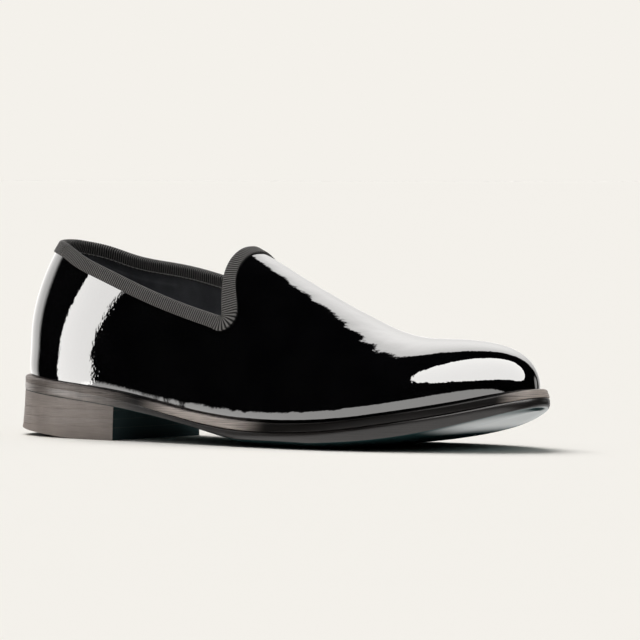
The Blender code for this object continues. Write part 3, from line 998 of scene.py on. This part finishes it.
@dataclass
class Upper:
    """Patent leather shell with its lining, open at the topline."""

    last: Last
    topline: Topline
    weaver: Weaver
    wall: float = 2.0
    shell: float = 1.1
    rows: int = 84
    tuck: float = 0.28
    turn_in: float = 0.4
    hidden_step: int = 6
    grip_front: float = 64.0
    grip_drop: float = 9.0
    grip_edge: float = 1.2
    grip_height: float = 0.35
    crease_fade: float = 0.42
    creases: tuple[Crease, ...] = (
        Crease(Side.LATERAL, (176.0, 0.98), (186.0, 0.62), 5.0, 0.10),
        Crease(Side.LATERAL, (189.0, 0.99), (200.0, 0.60), 5.5, -0.08),
        Crease(Side.LATERAL, (203.0, 0.97), (212.0, 0.64), 5.0, 0.09),
        Crease(Side.LATERAL, (160.0, 0.93), (172.0, 0.66), 6.0, -0.07),
        Crease(Side.LATERAL, (147.0, 0.92), (158.0, 0.70), 6.0, 0.07),
        Crease(Side.LATERAL, (198.0, 0.745), (238.0, 0.745), 8.0, -0.25),
        Crease(Side.LATERAL, (200.0, 0.50), (242.0, 0.50), 14.0, 0.25),
        Crease(Side.MEDIAL, (176.0, 0.98), (184.0, 0.62), 5.0, 0.10),
        Crease(Side.MEDIAL, (190.0, 0.99), (200.0, 0.60), 5.5, -0.08),
        Crease(Side.MEDIAL, (205.0, 0.97), (213.0, 0.64), 5.0, 0.08),
    )

    def surface(self) -> tuple[Array, Array, Array]:
        """Outer surface of the leather before it creases.

        Returns:
            Grid of points, their outward normals and their distances from the heel seat.
        """
        halves, places = [], []
        for side in Side:
            turns, shares = self.topline.half(side, self.rows)
            halves.append(self.last.girth_point(turns, shares, side)[0])
            places.append(self.last.along(turns))
        points = ring(*halves)
        return points, -grid_normals(points), ring(*places)

    def creased(self, points: Array, normals: Array) -> Array:
        """Points moved along their normals by the creases.

        Args:
            points: grid of points of the smooth surface.
            normals: their outward normals.

        Returns:
            The moved points.
        """
        lift = np.zeros(points.shape[:2])
        for crease in self.creases:
            ends = [
                self.last.girth_point(self.last.turn(np.array(along)), np.array(share), crease.side)[0]
                for along, share in (crease.start, crease.end)
            ]
            line = ends[1] - ends[0]
            reach = np.linalg.norm(line)
            way = (points - ends[0]) @ line / reach ** 2
            nearest = ends[0] + np.clip(way, 0, 1)[..., None] * line
            off = np.linalg.norm(points - nearest, axis=-1)
            fade = np.exp(-((way - 0.5) / self.crease_fade) ** 4)
            lift -= crease.depth * np.exp(-(off / crease.width) ** 2) * fade
        return points + normals * lift[..., None]

    def build(self) -> None:
        """Builds and dresses the patent shell and the lining."""
        points, normals, along = self.surface()
        self.build_shell(self.creased(points, normals), normals)
        self.build_lining(points, normals, along)

    def build_shell(self, outer: Array, normals: Array) -> None:
        """Builds the patent shell.

        Args:
            outer: grid of points of its outer face.
            normals: their outward normals.
        """
        under = outer[-1:] - normals[-1:] * self.shell * self.turn_in
        under[..., 2] -= self.tuck
        inner = (outer - normals * self.shell)[::-self.hidden_step]
        grid = np.concatenate([outer, under, inner], axis=0)
        piece = self.weaver.mesh("upper_patent", grid, close_rows=True)
        dress(piece, PatentLeather().make(), "patent_leather", "upper")

    def build_lining(self, points: Array, normals: Array, along: Array) -> None:
        """Builds the lining, with the heel grip that stands proud of it.

        Args:
            points: grid of points of the upper's outer face.
            normals: their outward normals.
            along: their distances from the heel seat.
        """
        below = np.linalg.norm(points - points[:1], axis=-1)
        grip = ease((self.grip_front - along) / self.grip_edge)
        grip = grip * ease((below - self.grip_drop) / self.grip_edge)
        inner = points - normals * (self.wall + self.grip_height * grip)[..., None]
        outer = points - normals * self.shell
        grid = np.concatenate([outer[::self.hidden_step], inner[::-1]], axis=0)
        piece = self.weaver.mesh("upper_lining", grid, close_rows=True)
        dress(piece, LiningLeather("lining_leather").make(), "insole_leather")


@dataclass
class Binding:
    """Grosgrain ribbon folded over the topline, sewn down inside the shoe."""

    last: Last
    topline: Topline
    weaver: Weaver
    wall: float = 2.0
    lift: float = 0.15
    thickness: float = 0.75
    fold: float = 1.25
    rib_pitch: float = 1.3
    rib_samples: int = 8
    rib_height: float = 0.24
    lap_at: float = 26.0
    lap_length: float = 18.0
    lap_height: float = 0.35
    fold_samples: int = 7
    leg_samples: int = 6
    stitch_ribs: int = 2
    stitch_samples: int = 8
    stitch_depth: float = 0.84
    stitch_rise: float = 0.12
    stitch_swing: float = 0.30
    thread: float = 0.24
    thread_sides: int = 6

    def rails(self) -> tuple[Array, Array, Array]:
        """Rows of the upper that the ribbon covers, evenly spaced along the edge.

        Returns:
            Points and outward normals, rows from the edge down and columns round the topline, and
            each column's distance round it.
        """
        points, normals = [], []
        for side in Side:
            turns, shares, _ = self.topline.walk(side)
            points.append(self.last.girth_point(turns, shares, side)[0])
            normals.append(self.last.slopes(turns, shares, side)[2])
        joined = np.concatenate([ring(*points), ring(*normals)], axis=0)
        joined = np.concatenate([joined, joined[:, :1]], axis=1)
        rows = len(points[0])
        distance = run_length(joined[rows // 2])
        ribs = round(distance[-1] / self.rib_pitch)
        at = np.linspace(0, distance[-1], ribs * self.rib_samples, endpoint=False)
        even = smooth_curve(distance, joined.transpose(1, 0, 2), at).transpose(1, 0, 2)
        return even[:rows], unit(even[rows:]), at

    def build(self) -> None:
        """Builds and dresses the ribbon and its stitches."""
        points, normals, places = self.rails()
        self.build_ribbon(points, normals, places)
        self.build_stitches(points, normals)

    def build_ribbon(self, points: Array, normals: Array, places: Array) -> None:
        """Builds the ribbon with its ribs and the lap of its ends.

        Args:
            points: rows of the upper that the ribbon covers.
            normals: their outward normals.
            places: each column's distance round the topline.
        """
        columns = points.shape[1]
        phase = np.arange(columns) / self.rib_samples
        crest = 0.5 + 0.5 * np.cos(2 * np.pi * phase)
        lap = np.clip((places - self.lap_at + self.lap_length) / self.lap_length, 0, 1)
        lap = np.where(places < self.lap_at, lap, 0.0) * self.lap_height
        height = self.lift + self.thickness + self.rib_height * (crest - 0.5) + lap

        depth = np.linspace(1, 0, self.leg_samples) * (len(points) - 1)
        rows = np.arange(len(points), dtype=float)
        leg = smooth_curve(rows, points, depth)
        leg_normal = unit(smooth_curve(rows, normals, depth))
        up = unit(points[0] - points[1])
        centre = points[0] - normals[0] * self.wall / 2
        turns = np.pi * inner_shares(self.fold_samples)

        def skin(offset: Array) -> list[Array]:
            """Lines of one face of the ribbon.

            Args:
                offset: height over the leather in each column.

            Returns:
                The lines, from the outer leg's edge over the fold to the inner leg's edge.
            """
            offset = offset[:, None]
            lines = [p + n * offset for p, n in zip(leg, leg_normal)]
            for turn in turns:
                side = normals[0] * np.cos(turn) * (self.wall / 2 + offset)
                lines.append(centre + side + up * np.sin(turn) * (self.fold - self.thickness + offset))
            lines += [p - n * (self.wall + offset) for p, n in zip(leg[::-1], leg_normal[::-1])]
            return lines

        outside = skin(height)
        inside = skin(np.full(columns, self.lift))[::-1]
        grid = np.stack(outside + inside[::2], axis=0)
        run = np.zeros(grid.shape)
        run[..., 0] = places
        run[..., 1] = np.arange(len(grid))[:, None] * self.topline.ribbon_width / self.leg_samples
        # The crest phase also sets the painted shade between the ribs
        run[..., 2] = crest
        piece = self.weaver.mesh("topline_ribbon", grid, run, close_rows=True)
        dress(piece, GrosgrainRibbon().make(), "ribbon", "binding")

    def build_stitches(self, points: Array, normals: Array) -> None:
        """Builds the thread that dips in and out along the ribbon's lower edge inside the shoe.

        Args:
            points: rows of the upper that the ribbon covers.
            normals: their outward normals.
        """
        every = self.rib_samples * self.stitch_ribs // self.stitch_samples
        rows = np.arange(len(points), dtype=float)
        depth = np.array([self.stitch_depth * rows[-1]])
        line = smooth_curve(rows, points, depth)[0][::every]
        inward = -unit(smooth_curve(rows, normals, depth)[0][::every])
        ahead = unit(np.roll(line, -1, axis=0) - np.roll(line, 1, axis=0))
        aside = np.cross(inward, ahead)
        phase = np.arange(len(line)) / self.stitch_samples
        rise = self.stitch_rise + self.stitch_swing * np.cos(2 * np.pi * phase)
        centre = line + inward * (self.wall + self.lift + self.thickness + rise)[:, None]
        around = np.linspace(0, 2 * np.pi, self.thread_sides, endpoint=False)[:, None]
        spokes = np.cos(around) * inward[:, None] + np.sin(around) * aside[:, None]
        grid = centre[:, None] + self.thread * spokes
        piece = self.weaver.mesh("binding_stitches", grid, close_rows=True)
        dress(piece, WaxedThread().make(), "ribbon")


@dataclass
class Sole:
    """Insole, midsole and outsole: plates that follow the feather edge."""

    last: Last
    weaver: Weaver
    gap: float = 0.3
    wall: float = 2.0
    overhang_heel: float = 2.9
    overhang_waist: float = 2.6
    overhang_fore: float = 4.3
    midsole_heel: float = 3.2
    midsole_fore: float = 4.2
    rounding: float = 1.3
    lean: float = 0.8
    ball_lift: float = 3.2
    toe_lift: float = 1.4
    tread_flat: float = 0.45
    insole_thickness: float = 3.2
    insole_clearance: float = 1.2
    insole_cup: float = 0.7
    # How far each line of the insole's rim is set back, and how far below the top
    insole_rounding: tuple[Span, ...] = ((0.9, 0.0), (0.3, 0.3), (0.0, 0.9))
    insole_lines: int = 24
    welt_lines: int = 7
    groove_heel: float = 0.08
    groove_fore: float = 0.5
    hidden_lines: int = 6
    tread_lines: int = 32
    tread_colour: Colour = (0.026, 0.060, 0.064)
    # Lines of the edge: outset at the heel and the forepart, share of the height, under finish
    outsole_edge: tuple[tuple[float, float, float, float], ...] = (
        (-0.08, -0.50, 0.00, 0.0),
        (0.00, -0.10, 0.08, 0.0),
        (0.05, 0.12, 0.20, 0.0),
        (0.10, 0.20, 0.50, 0.0),
        (0.10, 0.10, 0.70, 0.0),
        (0.08, -0.10, 0.85, 0.0),
        (0.00, -0.45, 0.95, 0.6),
        (-0.10, -0.90, 1.00, 1.0),
    )
    heel_front: float = 0.22
    waist_start: float = 0.25
    waist: float = 0.36
    ball_start: float = 0.60
    change: float = 0.30
    stations: int = 220
    tread_heights: Measures = Measures(("station", "height"), (
        (0.00, 22.3),
        (0.12, 19.6),
        (0.24, 16.6),
        (0.36, 11.1),
        (0.48, 3.0),
        (0.56, -0.6),
        (0.66, -0.6),
        (0.74, 1.2),
        (0.84, 5.2),
        (0.93, 11.4),
        (1.00, 17.8),
    ))

    def station(self, along: Array) -> Array:
        """Share of the last's length."""
        return along / self.last.length

    def overhang(self, along: Array) -> Array:
        """How far the sole's edge stands out past the feather edge.

        Args:
            along: distances from the heel seat.

        Returns:
            The overhang at each distance.
        """
        station = self.station(along)
        narrow = ease((station - self.heel_front) / (self.waist - self.heel_front))
        fore = ease((station - self.waist) / self.change)
        heel = self.overhang_heel + (self.overhang_waist - self.overhang_heel) * narrow
        return heel + (self.overhang_fore - self.overhang_waist) * fore

    def forepart(self, along: Array) -> Array:
        """0 from the heel to the waist, 1 under the ball and toe."""
        return ease((self.station(along) - self.waist_start) / self.change)

    def seat(self, along: Array) -> Array:
        """Height of the top of the sole."""
        return self.last.section("feather", along) - self.gap

    def midsole_under(self, along: Array) -> Array:
        """Height of the midsole's lower face."""
        thick = self.midsole_heel + (self.midsole_fore - self.midsole_heel) * self.forepart(along)
        return self.seat(along) - thick

    def tread(self, along: Array) -> Array:
        """Height of the tread on the centre line, flat where it stands on the floor."""
        return np.maximum(0, self.tread_heights.read("height", self.station(along)))

    def tread_edge(self, along: Array) -> Array:
        """How much higher the tread's rim is than its centre line.

        Args:
            along: distances from the heel seat.

        Returns:
            The difference at each distance.
        """
        toe = ease((self.station(along) - self.ball_start) / self.change)
        lift = self.ball_lift + (self.toe_lift - self.ball_lift) * toe
        return lift * self.forepart(along)

    def rim(self, side: Side, outset: Height, height: Height) -> Array:
        """One line round the edge of a plate.

        Args:
            side: side of the foot.
            outset: how far the line stands out past the feather edge.
            height: height of the line.

        Returns:
            Points from the back seam to the toe tip.
        """
        turns = np.linspace(0, np.pi, self.stations + 1)
        plan = self.last.feather_outline(turns, side, outset(self.last.along(turns)))
        return np.concatenate([plan, height(plan[:, :1])], axis=-1)

    def plate(self, name: str, edge: Sequence[tuple[Height, Height, float]], top: Sequence[float],
              under: Sequence[float], under_height: FaceHeight | None = None,
              top_height: FaceHeight | None = None) -> bpy.types.Object:
        """Builds a closed plate.

        Args:
            name: name of the piece.
            edge: from top to bottom, outset and height of each line of the edge, and how much of
                the under face's finish it takes.
            top: shares of the width where the top face has lines, from inner side to outer side.
            under: shares of the width where the under face has lines, from outer side to inner.
            under_height: height of the under face at a distance and a share of the width.
            top_height: the same for the top face.

        Returns:
            The piece.
        """
        lateral, medial = (
            [self.rim(side, outset, height) for outset, height, _ in edge] for side in Side)
        masks = [mask for _, _, mask in edge]

        def face(row: int, shares: Sequence[float], height: FaceHeight | None) -> list[Array]:
            """Lines across a face.

            Args:
                row: line of the edge that the face starts from.
                shares: shares of the width where it has lines.
                height: its height, where it doesn't lie straight between the two sides.

            Returns:
                The lines.
            """
            lines = []
            for share in shares:
                line = lateral[row] + (medial[row] - lateral[row]) * share
                if height:
                    line[:, 2] = height(line[:, 0], share)
                lines.append(line)
            return lines

        lines = lateral + face(-1, under, under_height) + medial[::-1] + face(0, top, top_height)
        grid = np.stack(lines, axis=1)
        run = np.empty(grid.shape)
        run[..., 0] = run_length(lateral[0])[:, None]
        run[..., 1] = grid[..., 2]
        run[..., 2] = masks + [1.0] * len(under) + masks[::-1] + [0.0] * len(top)
        return self.weaver.mesh(name, grid, run)

    def build(self) -> None:
        """Builds and dresses the three plates."""
        self.build_insole()
        self.build_midsole()
        self.build_outsole()

    def build_insole(self) -> None:
        """Builds the insole, cupped a little along its edge."""
        def inset(extra: float) -> Height:
            """Constant inset from the feather edge."""
            return lambda along: np.full_like(along, -(self.wall + self.insole_clearance + extra))

        def level(rise: float) -> Height:
            """Height over the midsole."""
            return lambda along: self.seat(along) + self.gap + rise

        def cupped(along: Array, share: float) -> Array:
            """Top face, lower in the middle."""
            cup = self.insole_cup * (1 - abs(2 * share - 1) ** 3)
            return level(self.insole_thickness)(along) - cup

        edge = [
            (inset(back), level(self.insole_thickness - drop), 0.0)
            for back, drop in self.insole_rounding
        ]
        edge.append((inset(0.0), level(0.0), 0.0))
        across = inner_shares(self.insole_lines)[::-1]
        piece = self.plate("insole_sock", edge, across, [0.5], top_height=cupped)
        finish = LiningLeather("insole_cover", (0.010, 0.011, 0.014), (0.115, 0.119, 0.132))
        dress(piece, finish.make(), "insole_leather", "insole")

    def build_midsole(self) -> None:
        """Builds the midsole, rounded over where the upper stands on it."""
        rounding = self.rounding

        def set_back(share: float) -> Height:
            """Edge that stands back by a share of the rounding, and leans in over the forepart."""
            return lambda along: (self.overhang(along) - share * rounding
                                  - self.lean * self.forepart(along))

        def under(share: float) -> Height:
            """Height over the lower face."""
            return lambda along: self.midsole_under(along) + share * rounding

        def groove(along: Array) -> Array:
            """Edge of the lower face, drawn in along the forepart."""
            depth = self.groove_heel + (self.groove_fore - self.groove_heel) * self.forepart(along)
            return self.overhang(along) - depth * rounding

        def below_seat(share: float) -> Height:
            """Height under the top of the sole."""
            return lambda along: self.seat(along) - share * rounding

        edge = [
            (set_back(1 - np.cos(angle)), below_seat(1 - np.sin(angle)), 0.0)
            for angle in np.linspace(np.pi / 2, 0, self.welt_lines)
        ]
        edge += [(self.overhang, under(share), 0.0) for share in (0.5, 0.25)]
        edge.append((groove, under(0.0), 0.0))
        across = inner_shares(self.hidden_lines)
        piece = self.plate("midsole_edge", edge, across[::-1], across)
        # Painted highlights on the edge at the waist and near the toe
        painted_highlight_spans = ((-0.055, 0.034), (0.140, 0.170))
        finish = BrushedEdge("sole_edge", (0.012, 0.0105, 0.010), painted_highlight_places=painted_highlight_spans, coat=0.2)
        dress(piece, finish.make(), "sole_edge", "midsole")

    def build_outsole(self) -> None:
        """Builds the outsole: toe spring, flat tread under the ball, arch and heel seat."""
        rounding = self.rounding

        def down(share: float) -> Height:
            """Height at a share of the edge, from its top to the tread's rim."""
            return lambda along: (self.midsole_under(along) * (1 - share)
                                  + (self.tread(along) + self.tread_edge(along)) * share)

        def out(heel: float, fore: float) -> Height:
            """Outset past the overhang, as shares of the rounding at the heel and the forepart."""
            return lambda along: (self.overhang(along)
                                  + rounding * (heel + (fore - heel) * self.forepart(along)))

        def tread_face(along: Array, share: float) -> Array:
            """Height of the under face."""
            rim = np.clip((abs(2 * share - 1) - self.tread_flat) / (1 - self.tread_flat), 0, 1)
            return self.tread(along) + self.tread_edge(along) * rim ** 2

        edge = [(out(heel, fore), down(share), mask) for heel, fore, share, mask in self.outsole_edge]
        top = inner_shares(self.hidden_lines // 2)[::-1]
        piece = self.plate("outsole_leather", edge, top, inner_shares(self.tread_lines), tread_face)
        finish = BrushedEdge("outsole_leather", (0.032, 0.028, 0.027), under=self.tread_colour)
        dress(piece, finish.make(), "outsole_leather", "outsole")


@dataclass
class Heel:
    """Stacked heel: leather lifts under the heel seat and a rubber top piece on the floor."""

    last: Last
    sole: Sole
    weaver: Weaver
    breast: float = 73.3
    top_piece: float = 6.0
    lift: float = 4.2
    flare: float = 0.022
    bevel_start: float = 50.0
    bevel_rise: float = 3.5
    bevel_power: float = 1.3
    chamfer: float = 0.12
    stations: int = 90
    outline_samples: int = 1200
    hidden_lines: int = 6
    breast_rings: tuple[float, ...] = (0.98, 0.5, 0.0)
    breast_colour: Colour = (0.052, 0.082, 0.088)
    names: tuple[str, ...] = ("top_piece", "heel_lift_1", "heel_lift_2", "heel_lift_3")

    def outline(self) -> tuple[Array, list[Array]]:
        """Plan of the heel.

        Returns:
            Distances from the back to the breast, and the half outlines of both sides.
        """
        last = self.last
        turns = np.linspace(0, last.turn(self.sole.waist * last.length), self.outline_samples)
        outset = self.sole.overhang(last.along(turns))
        sides = [last.feather_outline(turns, side, outset) for side in Side]
        back = sides[0][0, 0]
        spread = 1 - np.cos(np.linspace(0, np.pi / 2, self.stations + 1))
        forward = back + (self.breast - back) * spread
        halves = [np.interp(forward, plan[:, 0], plan[:, 1]) for plan in sides]
        for half in halves:
            half[0] = last.section("swing", 0.0)
        return forward, halves

    def layer(self, name: str, top: Height, under: Height, flares: Span) -> bpy.types.Object:
        """Builds one layer.

        Args:
            name: name of the piece.
            top: height of its top face.
            under: height of its under face.
            flares: how much wider it is than the heel seat, at its top and under face.

        Returns:
            The piece.
        """
        forward, halves = self.outline()
        heights = (
            (top, flares[0], -self.chamfer),
            (lambda along: top(along) - self.chamfer, flares[0], 0.0),
            (lambda along: (top(along) + under(along)) / 2, sum(flares) / 2, 0.0),
            (lambda along: under(along) + self.chamfer, flares[1], 0.0),
            (under, flares[1], -self.chamfer),
        )

        def rim(half: Array) -> list[Array]:
            """Lines of one side.

            Args:
                half: places across of the side's outline.

            Returns:
                The lines, from top to bottom.
            """
            lines = []
            for height, flare, inset in heights:
                scale = 1 + flare + inset / (self.last.ball_width / 2)
                along = self.breast - (self.breast - forward) * scale
                lines.append(np.stack([along, half * scale, height(along)], axis=-1))
            return lines

        lateral, medial = rim(halves[0]), rim(halves[1])
        inner = inner_shares(self.hidden_lines)
        lines = lateral + [lateral[-1] + (medial[-1] - lateral[-1]) * share for share in inner]
        lines += medial[::-1] + [medial[0] + (lateral[0] - medial[0]) * share for share in inner]
        grid = np.stack(lines, axis=1)
        middle = grid[-1].mean(axis=0) * (0, 1, 1) + grid[-1] * (1, 0, 0)
        breast = [middle + (grid[-1] - middle) * size for size in self.breast_rings]
        grid = np.concatenate([grid, np.stack(breast)], axis=0)
        run = np.zeros(grid.shape)
        run[..., 0] = grid[..., 0]
        run[..., 1] = grid[..., 2]
        run[-len(breast):, :, 2] = 1.0
        run[:, len(lateral):len(lateral) + len(inner), 2] = 1.0
        return self.weaver.mesh(name, grid, run)

    def build(self) -> None:
        """Builds and dresses the four layers."""
        def bevel(along: Array) -> Array:
            """Under face of the top piece, raised towards the back."""
            back = np.maximum(self.bevel_start - along, 0) / self.bevel_start
            return self.bevel_rise * back ** self.bevel_power

        def level(count: int) -> Height:
            """Height of the joint over a number of lifts."""
            return lambda along: np.full_like(along, self.top_piece + count * self.lift)

        levels = [bevel, level(0), level(1), level(2), self.sole.tread]
        leather = BrushedEdge(
            "heel_leather", (0.420, 0.365, 0.336), (0.185, 0.161, 0.149), under=self.breast_colour,
            coat=0.25, gloss=0.4, line_pitch=0.22, line_length=14.0)
        rubber = replace(
            leather, name="top_piece_rubber", light=(0.340, 0.302, 0.280), dark=(0.245, 0.217, 0.202),
            coat=0.1, gloss=0.5)
        materials = {finish.name: finish.make() for finish in (rubber, leather)}
        for i, name in enumerate(self.names):
            flares = tuple(self.flare * (1 - k / len(self.names)) for k in (i + 1, i))
            piece = self.layer("layer_" + name, levels[i + 1], levels[i], flares)
            slot = leather.name if i else rubber.name
            dress(piece, materials[slot], slot, name)


@dataclass(frozen=True)
class Panel:
    """A far round panel that gloss takes up, in degrees, with a blurred rim and more light upwards."""

    azimuth: float
    elevation: float
    radius: float
    blur: float
    radiance: float
    rise: float = 0.0


class Board(Enum):
    """Outline of a softbox."""

    OBLONG = "RECTANGLE"
    OVAL = "ELLIPSE"


@dataclass(frozen=True)
class Softbox:
    """A near lit board that faces a point of the shoe, in millimetres and degrees."""

    name: str
    target: Point
    azimuth: float
    elevation: float
    distance: float
    board: Board
    size: Span
    radiance: float
    roll: float


@dataclass
class Studio:
    """Pale floor, soft light and the camera."""

    last: Last
    aim: Point = (169.5, 0.0, 58.6)
    azimuth: float = 38.0
    elevation: float = 1.6
    distance: float = 2500.0
    lens: float = 297.0
    sensor: float = 36.0
    floor_half: float = 60.0
    sky: Colour = (0.905, 0.880, 0.831)
    dark: float = 0.004
    warmth: Colour = (1.0, 0.985, 0.965)
    fill: float = 0.3
    fill_on_level: float = 0.7
    rise_span: Span = (0.1, 0.85)
    wash_azimuth: float = -110.0
    wash_elevation: float = 58.0
    wash_width: float = 45.0
    panels: tuple[Panel, ...] = (
        Panel(-139.0, 17.5, 43.0, 1.0, 1.2, 2.9),
        Panel(-112.0, 5.0, 22.0, 4.0, 2.1),
        Panel(-200.0, 4.0, 8.0, 3.0, 1.5),
        Panel(3.0, -39.7, 59.7, 1.5, 3.0),
        Panel(180.0, -52.0, 36.0, 3.0, 2.0),
    )
    boxes: tuple[Softbox, ...] = (
        Softbox("heel_strip", (15.7, -24.4, 84.0), azimuth=-47.0, elevation=0.0, distance=150.0,
                board=Board.OBLONG, size=(55.0, 180.0), radiance=8.0, roll=-9.0),
        Softbox("toe_oval", (320.9, 45.8, 41.5), azimuth=45.0, elevation=56.0, distance=150.0,
                board=Board.OVAL, size=(402.0, 190.0), radiance=10.0, roll=-17.5),
    )

    def direction(self, azimuth: float, elevation: float) -> Vector:
        """Direction from the shoe, with azimuth 0 along -Y and 90 along +X."""
        a, e = np.radians(azimuth), np.radians(elevation)
        return Vector((np.sin(a) * np.cos(e), -np.cos(a) * np.cos(e), np.sin(e)))

    def hang(self, data: bpy.types.ID, target: Sequence[float], azimuth: float, elevation: float,
             distance: float, roll: float = 0.0) -> bpy.types.Object:
        """Puts a lamp or a camera in a direction from a point of the shoe, facing that point.

        Args:
            data: the lamp's or the camera's data.
            target: the point, in the last's frame.
            azimuth: direction round the shoe, in degrees.
            elevation: direction above the floor, in degrees.
            distance: distance from the point, in millimetres.
            roll: turn about its own axis, in degrees.

        Returns:
            The lamp or camera.
        """
        thing = bpy.data.objects.new(data.name, data)
        away = self.direction(azimuth, elevation)
        thing.location = Vector(self.last.placed(np.array(target))) + away * distance * MM
        thing.rotation_mode = "QUATERNION"
        thing.rotation_quaternion = away.to_track_quat("Z", "Y") @ Quaternion((0, 0, 1), np.radians(roll))
        bpy.context.scene.collection.objects.link(thing)
        return thing

    def build(self) -> None:
        """Builds the floor, the surroundings, the lights and the camera."""
        self.build_floor()
        self.build_surroundings()
        self.build_wash()
        for box in self.boxes:
            self.build_box(box)
        data = bpy.data.cameras.new("camera")
        data.lens, data.sensor_width = self.lens, self.sensor
        bpy.context.scene.camera = self.hang(data, self.aim, self.azimuth, self.elevation, self.distance)
        bpy.context.scene.view_settings.view_transform = "Standard"

    def build_floor(self) -> None:
        """Builds the floor."""
        mesh = bpy.data.meshes.new("floor")
        half = self.floor_half
        corners = [(-half, -half, 0), (half, -half, 0), (half, half, 0), (-half, half, 0)]
        mesh.from_pydata(corners, [], [(0, 1, 2, 3)])
        floor = bpy.data.objects.new("floor", mesh)
        mesh.materials.append(PaleFloor(self.sky).make())
        bpy.context.scene.collection.objects.link(floor)
        floor.visible_glossy = False

    def build_surroundings(self) -> None:
        """Builds the surroundings: pale to the eye, white to matt faces, panels in the dark to gloss."""
        world = bpy.data.worlds.new("studio")
        bpy.context.scene.world = world
        nodes = Nodes(world)
        way = nodes.node("ShaderNodeTexCoord", {}, {}).outputs["Generated"]

        def towards(axis: Sequence[float]) -> Value:
            """Cosine of the angle from an axis."""
            node = nodes.node("ShaderNodeVectorMath", {"operation": "DOT_PRODUCT"}, {0: way, 1: axis})
            return Value(nodes, node.outputs["Value"])

        height = towards((0.0, 0.0, 1.0))
        glow: Value | float = self.dark
        for panel in self.panels:
            facing = towards(self.direction(panel.azimuth, panel.elevation))
            rim = np.cos(np.radians([panel.radius + panel.blur, panel.radius - panel.blur]))
            light = panel.radiance + panel.rise * height.step(*self.rise_span)
            glow = nodes.math("MAXIMUM", glow, light * facing.step(*rim))
        path = nodes.node("ShaderNodeLightPath", {}, {})
        fill = height.step(0.0, 1.0) * (self.fill / self.fill_on_level)
        shader = nodes.node("ShaderNodeBackground", {}, {"Color": (1.0, 1.0, 1.0), "Strength": fill})
        sights = ("Is Glossy Ray", self.warmth, glow), ("Is Camera Ray", self.sky, 1.0)
        for ray, colour, strength in sights:
            seen = nodes.node("ShaderNodeBackground", {}, {"Color": colour, "Strength": strength})
            shader = nodes.node("ShaderNodeMixShader", {}, {
                0: path.outputs[ray], 1: shader.outputs[0], 2: seen.outputs[0]})
        nodes.join(shader.outputs[0], nodes.tree.nodes["World Output"].inputs["Surface"])

    def build_wash(self) -> None:
        """Builds the wide light from above that matt surfaces take beside the surroundings."""
        light = bpy.data.lights.new("overhead_wash", "SUN")
        light.angle = np.radians(self.wash_width)
        light.energy = (1 - self.fill) * np.pi / np.sin(np.radians(self.wash_elevation))
        lamp = self.hang(light, self.aim, self.wash_azimuth, self.wash_elevation, self.distance)
        lamp.visible_glossy = False

    def build_box(self, box: Softbox) -> None:
        """Builds one softbox, which only gloss takes up.

        Args:
            box: the softbox.
        """
        light = bpy.data.lights.new(box.name, "AREA")
        light.shape = box.board.value
        light.color = self.warmth
        light.size, light.size_y = (side * MM for side in box.size)
        area = light.size * light.size_y * (np.pi / 4 if box.board is Board.OVAL else 1.0)
        light.energy = box.radiance * np.pi * area
        lamp = self.hang(light, box.target, box.azimuth, box.elevation, box.distance, box.roll)
        lamp.visible_camera = False
        lamp.visible_diffuse = False


def main() -> None:
    """Builds the shoe, then the studio round it."""
    logging.basicConfig(level=logging.INFO, format="%(message)s")
    last = Last()
    topline = Topline(last)
    weaver = Weaver(last)
    sole = Sole(last, weaver)
    for assembly in (Upper(last, topline, weaver), Binding(last, topline, weaver), sole,
                     Heel(last, sole, weaver), Studio(last)):
        assembly.build()
        LOG.info("%s done", type(assembly).__name__)


if __name__ == "__main__":
    main()
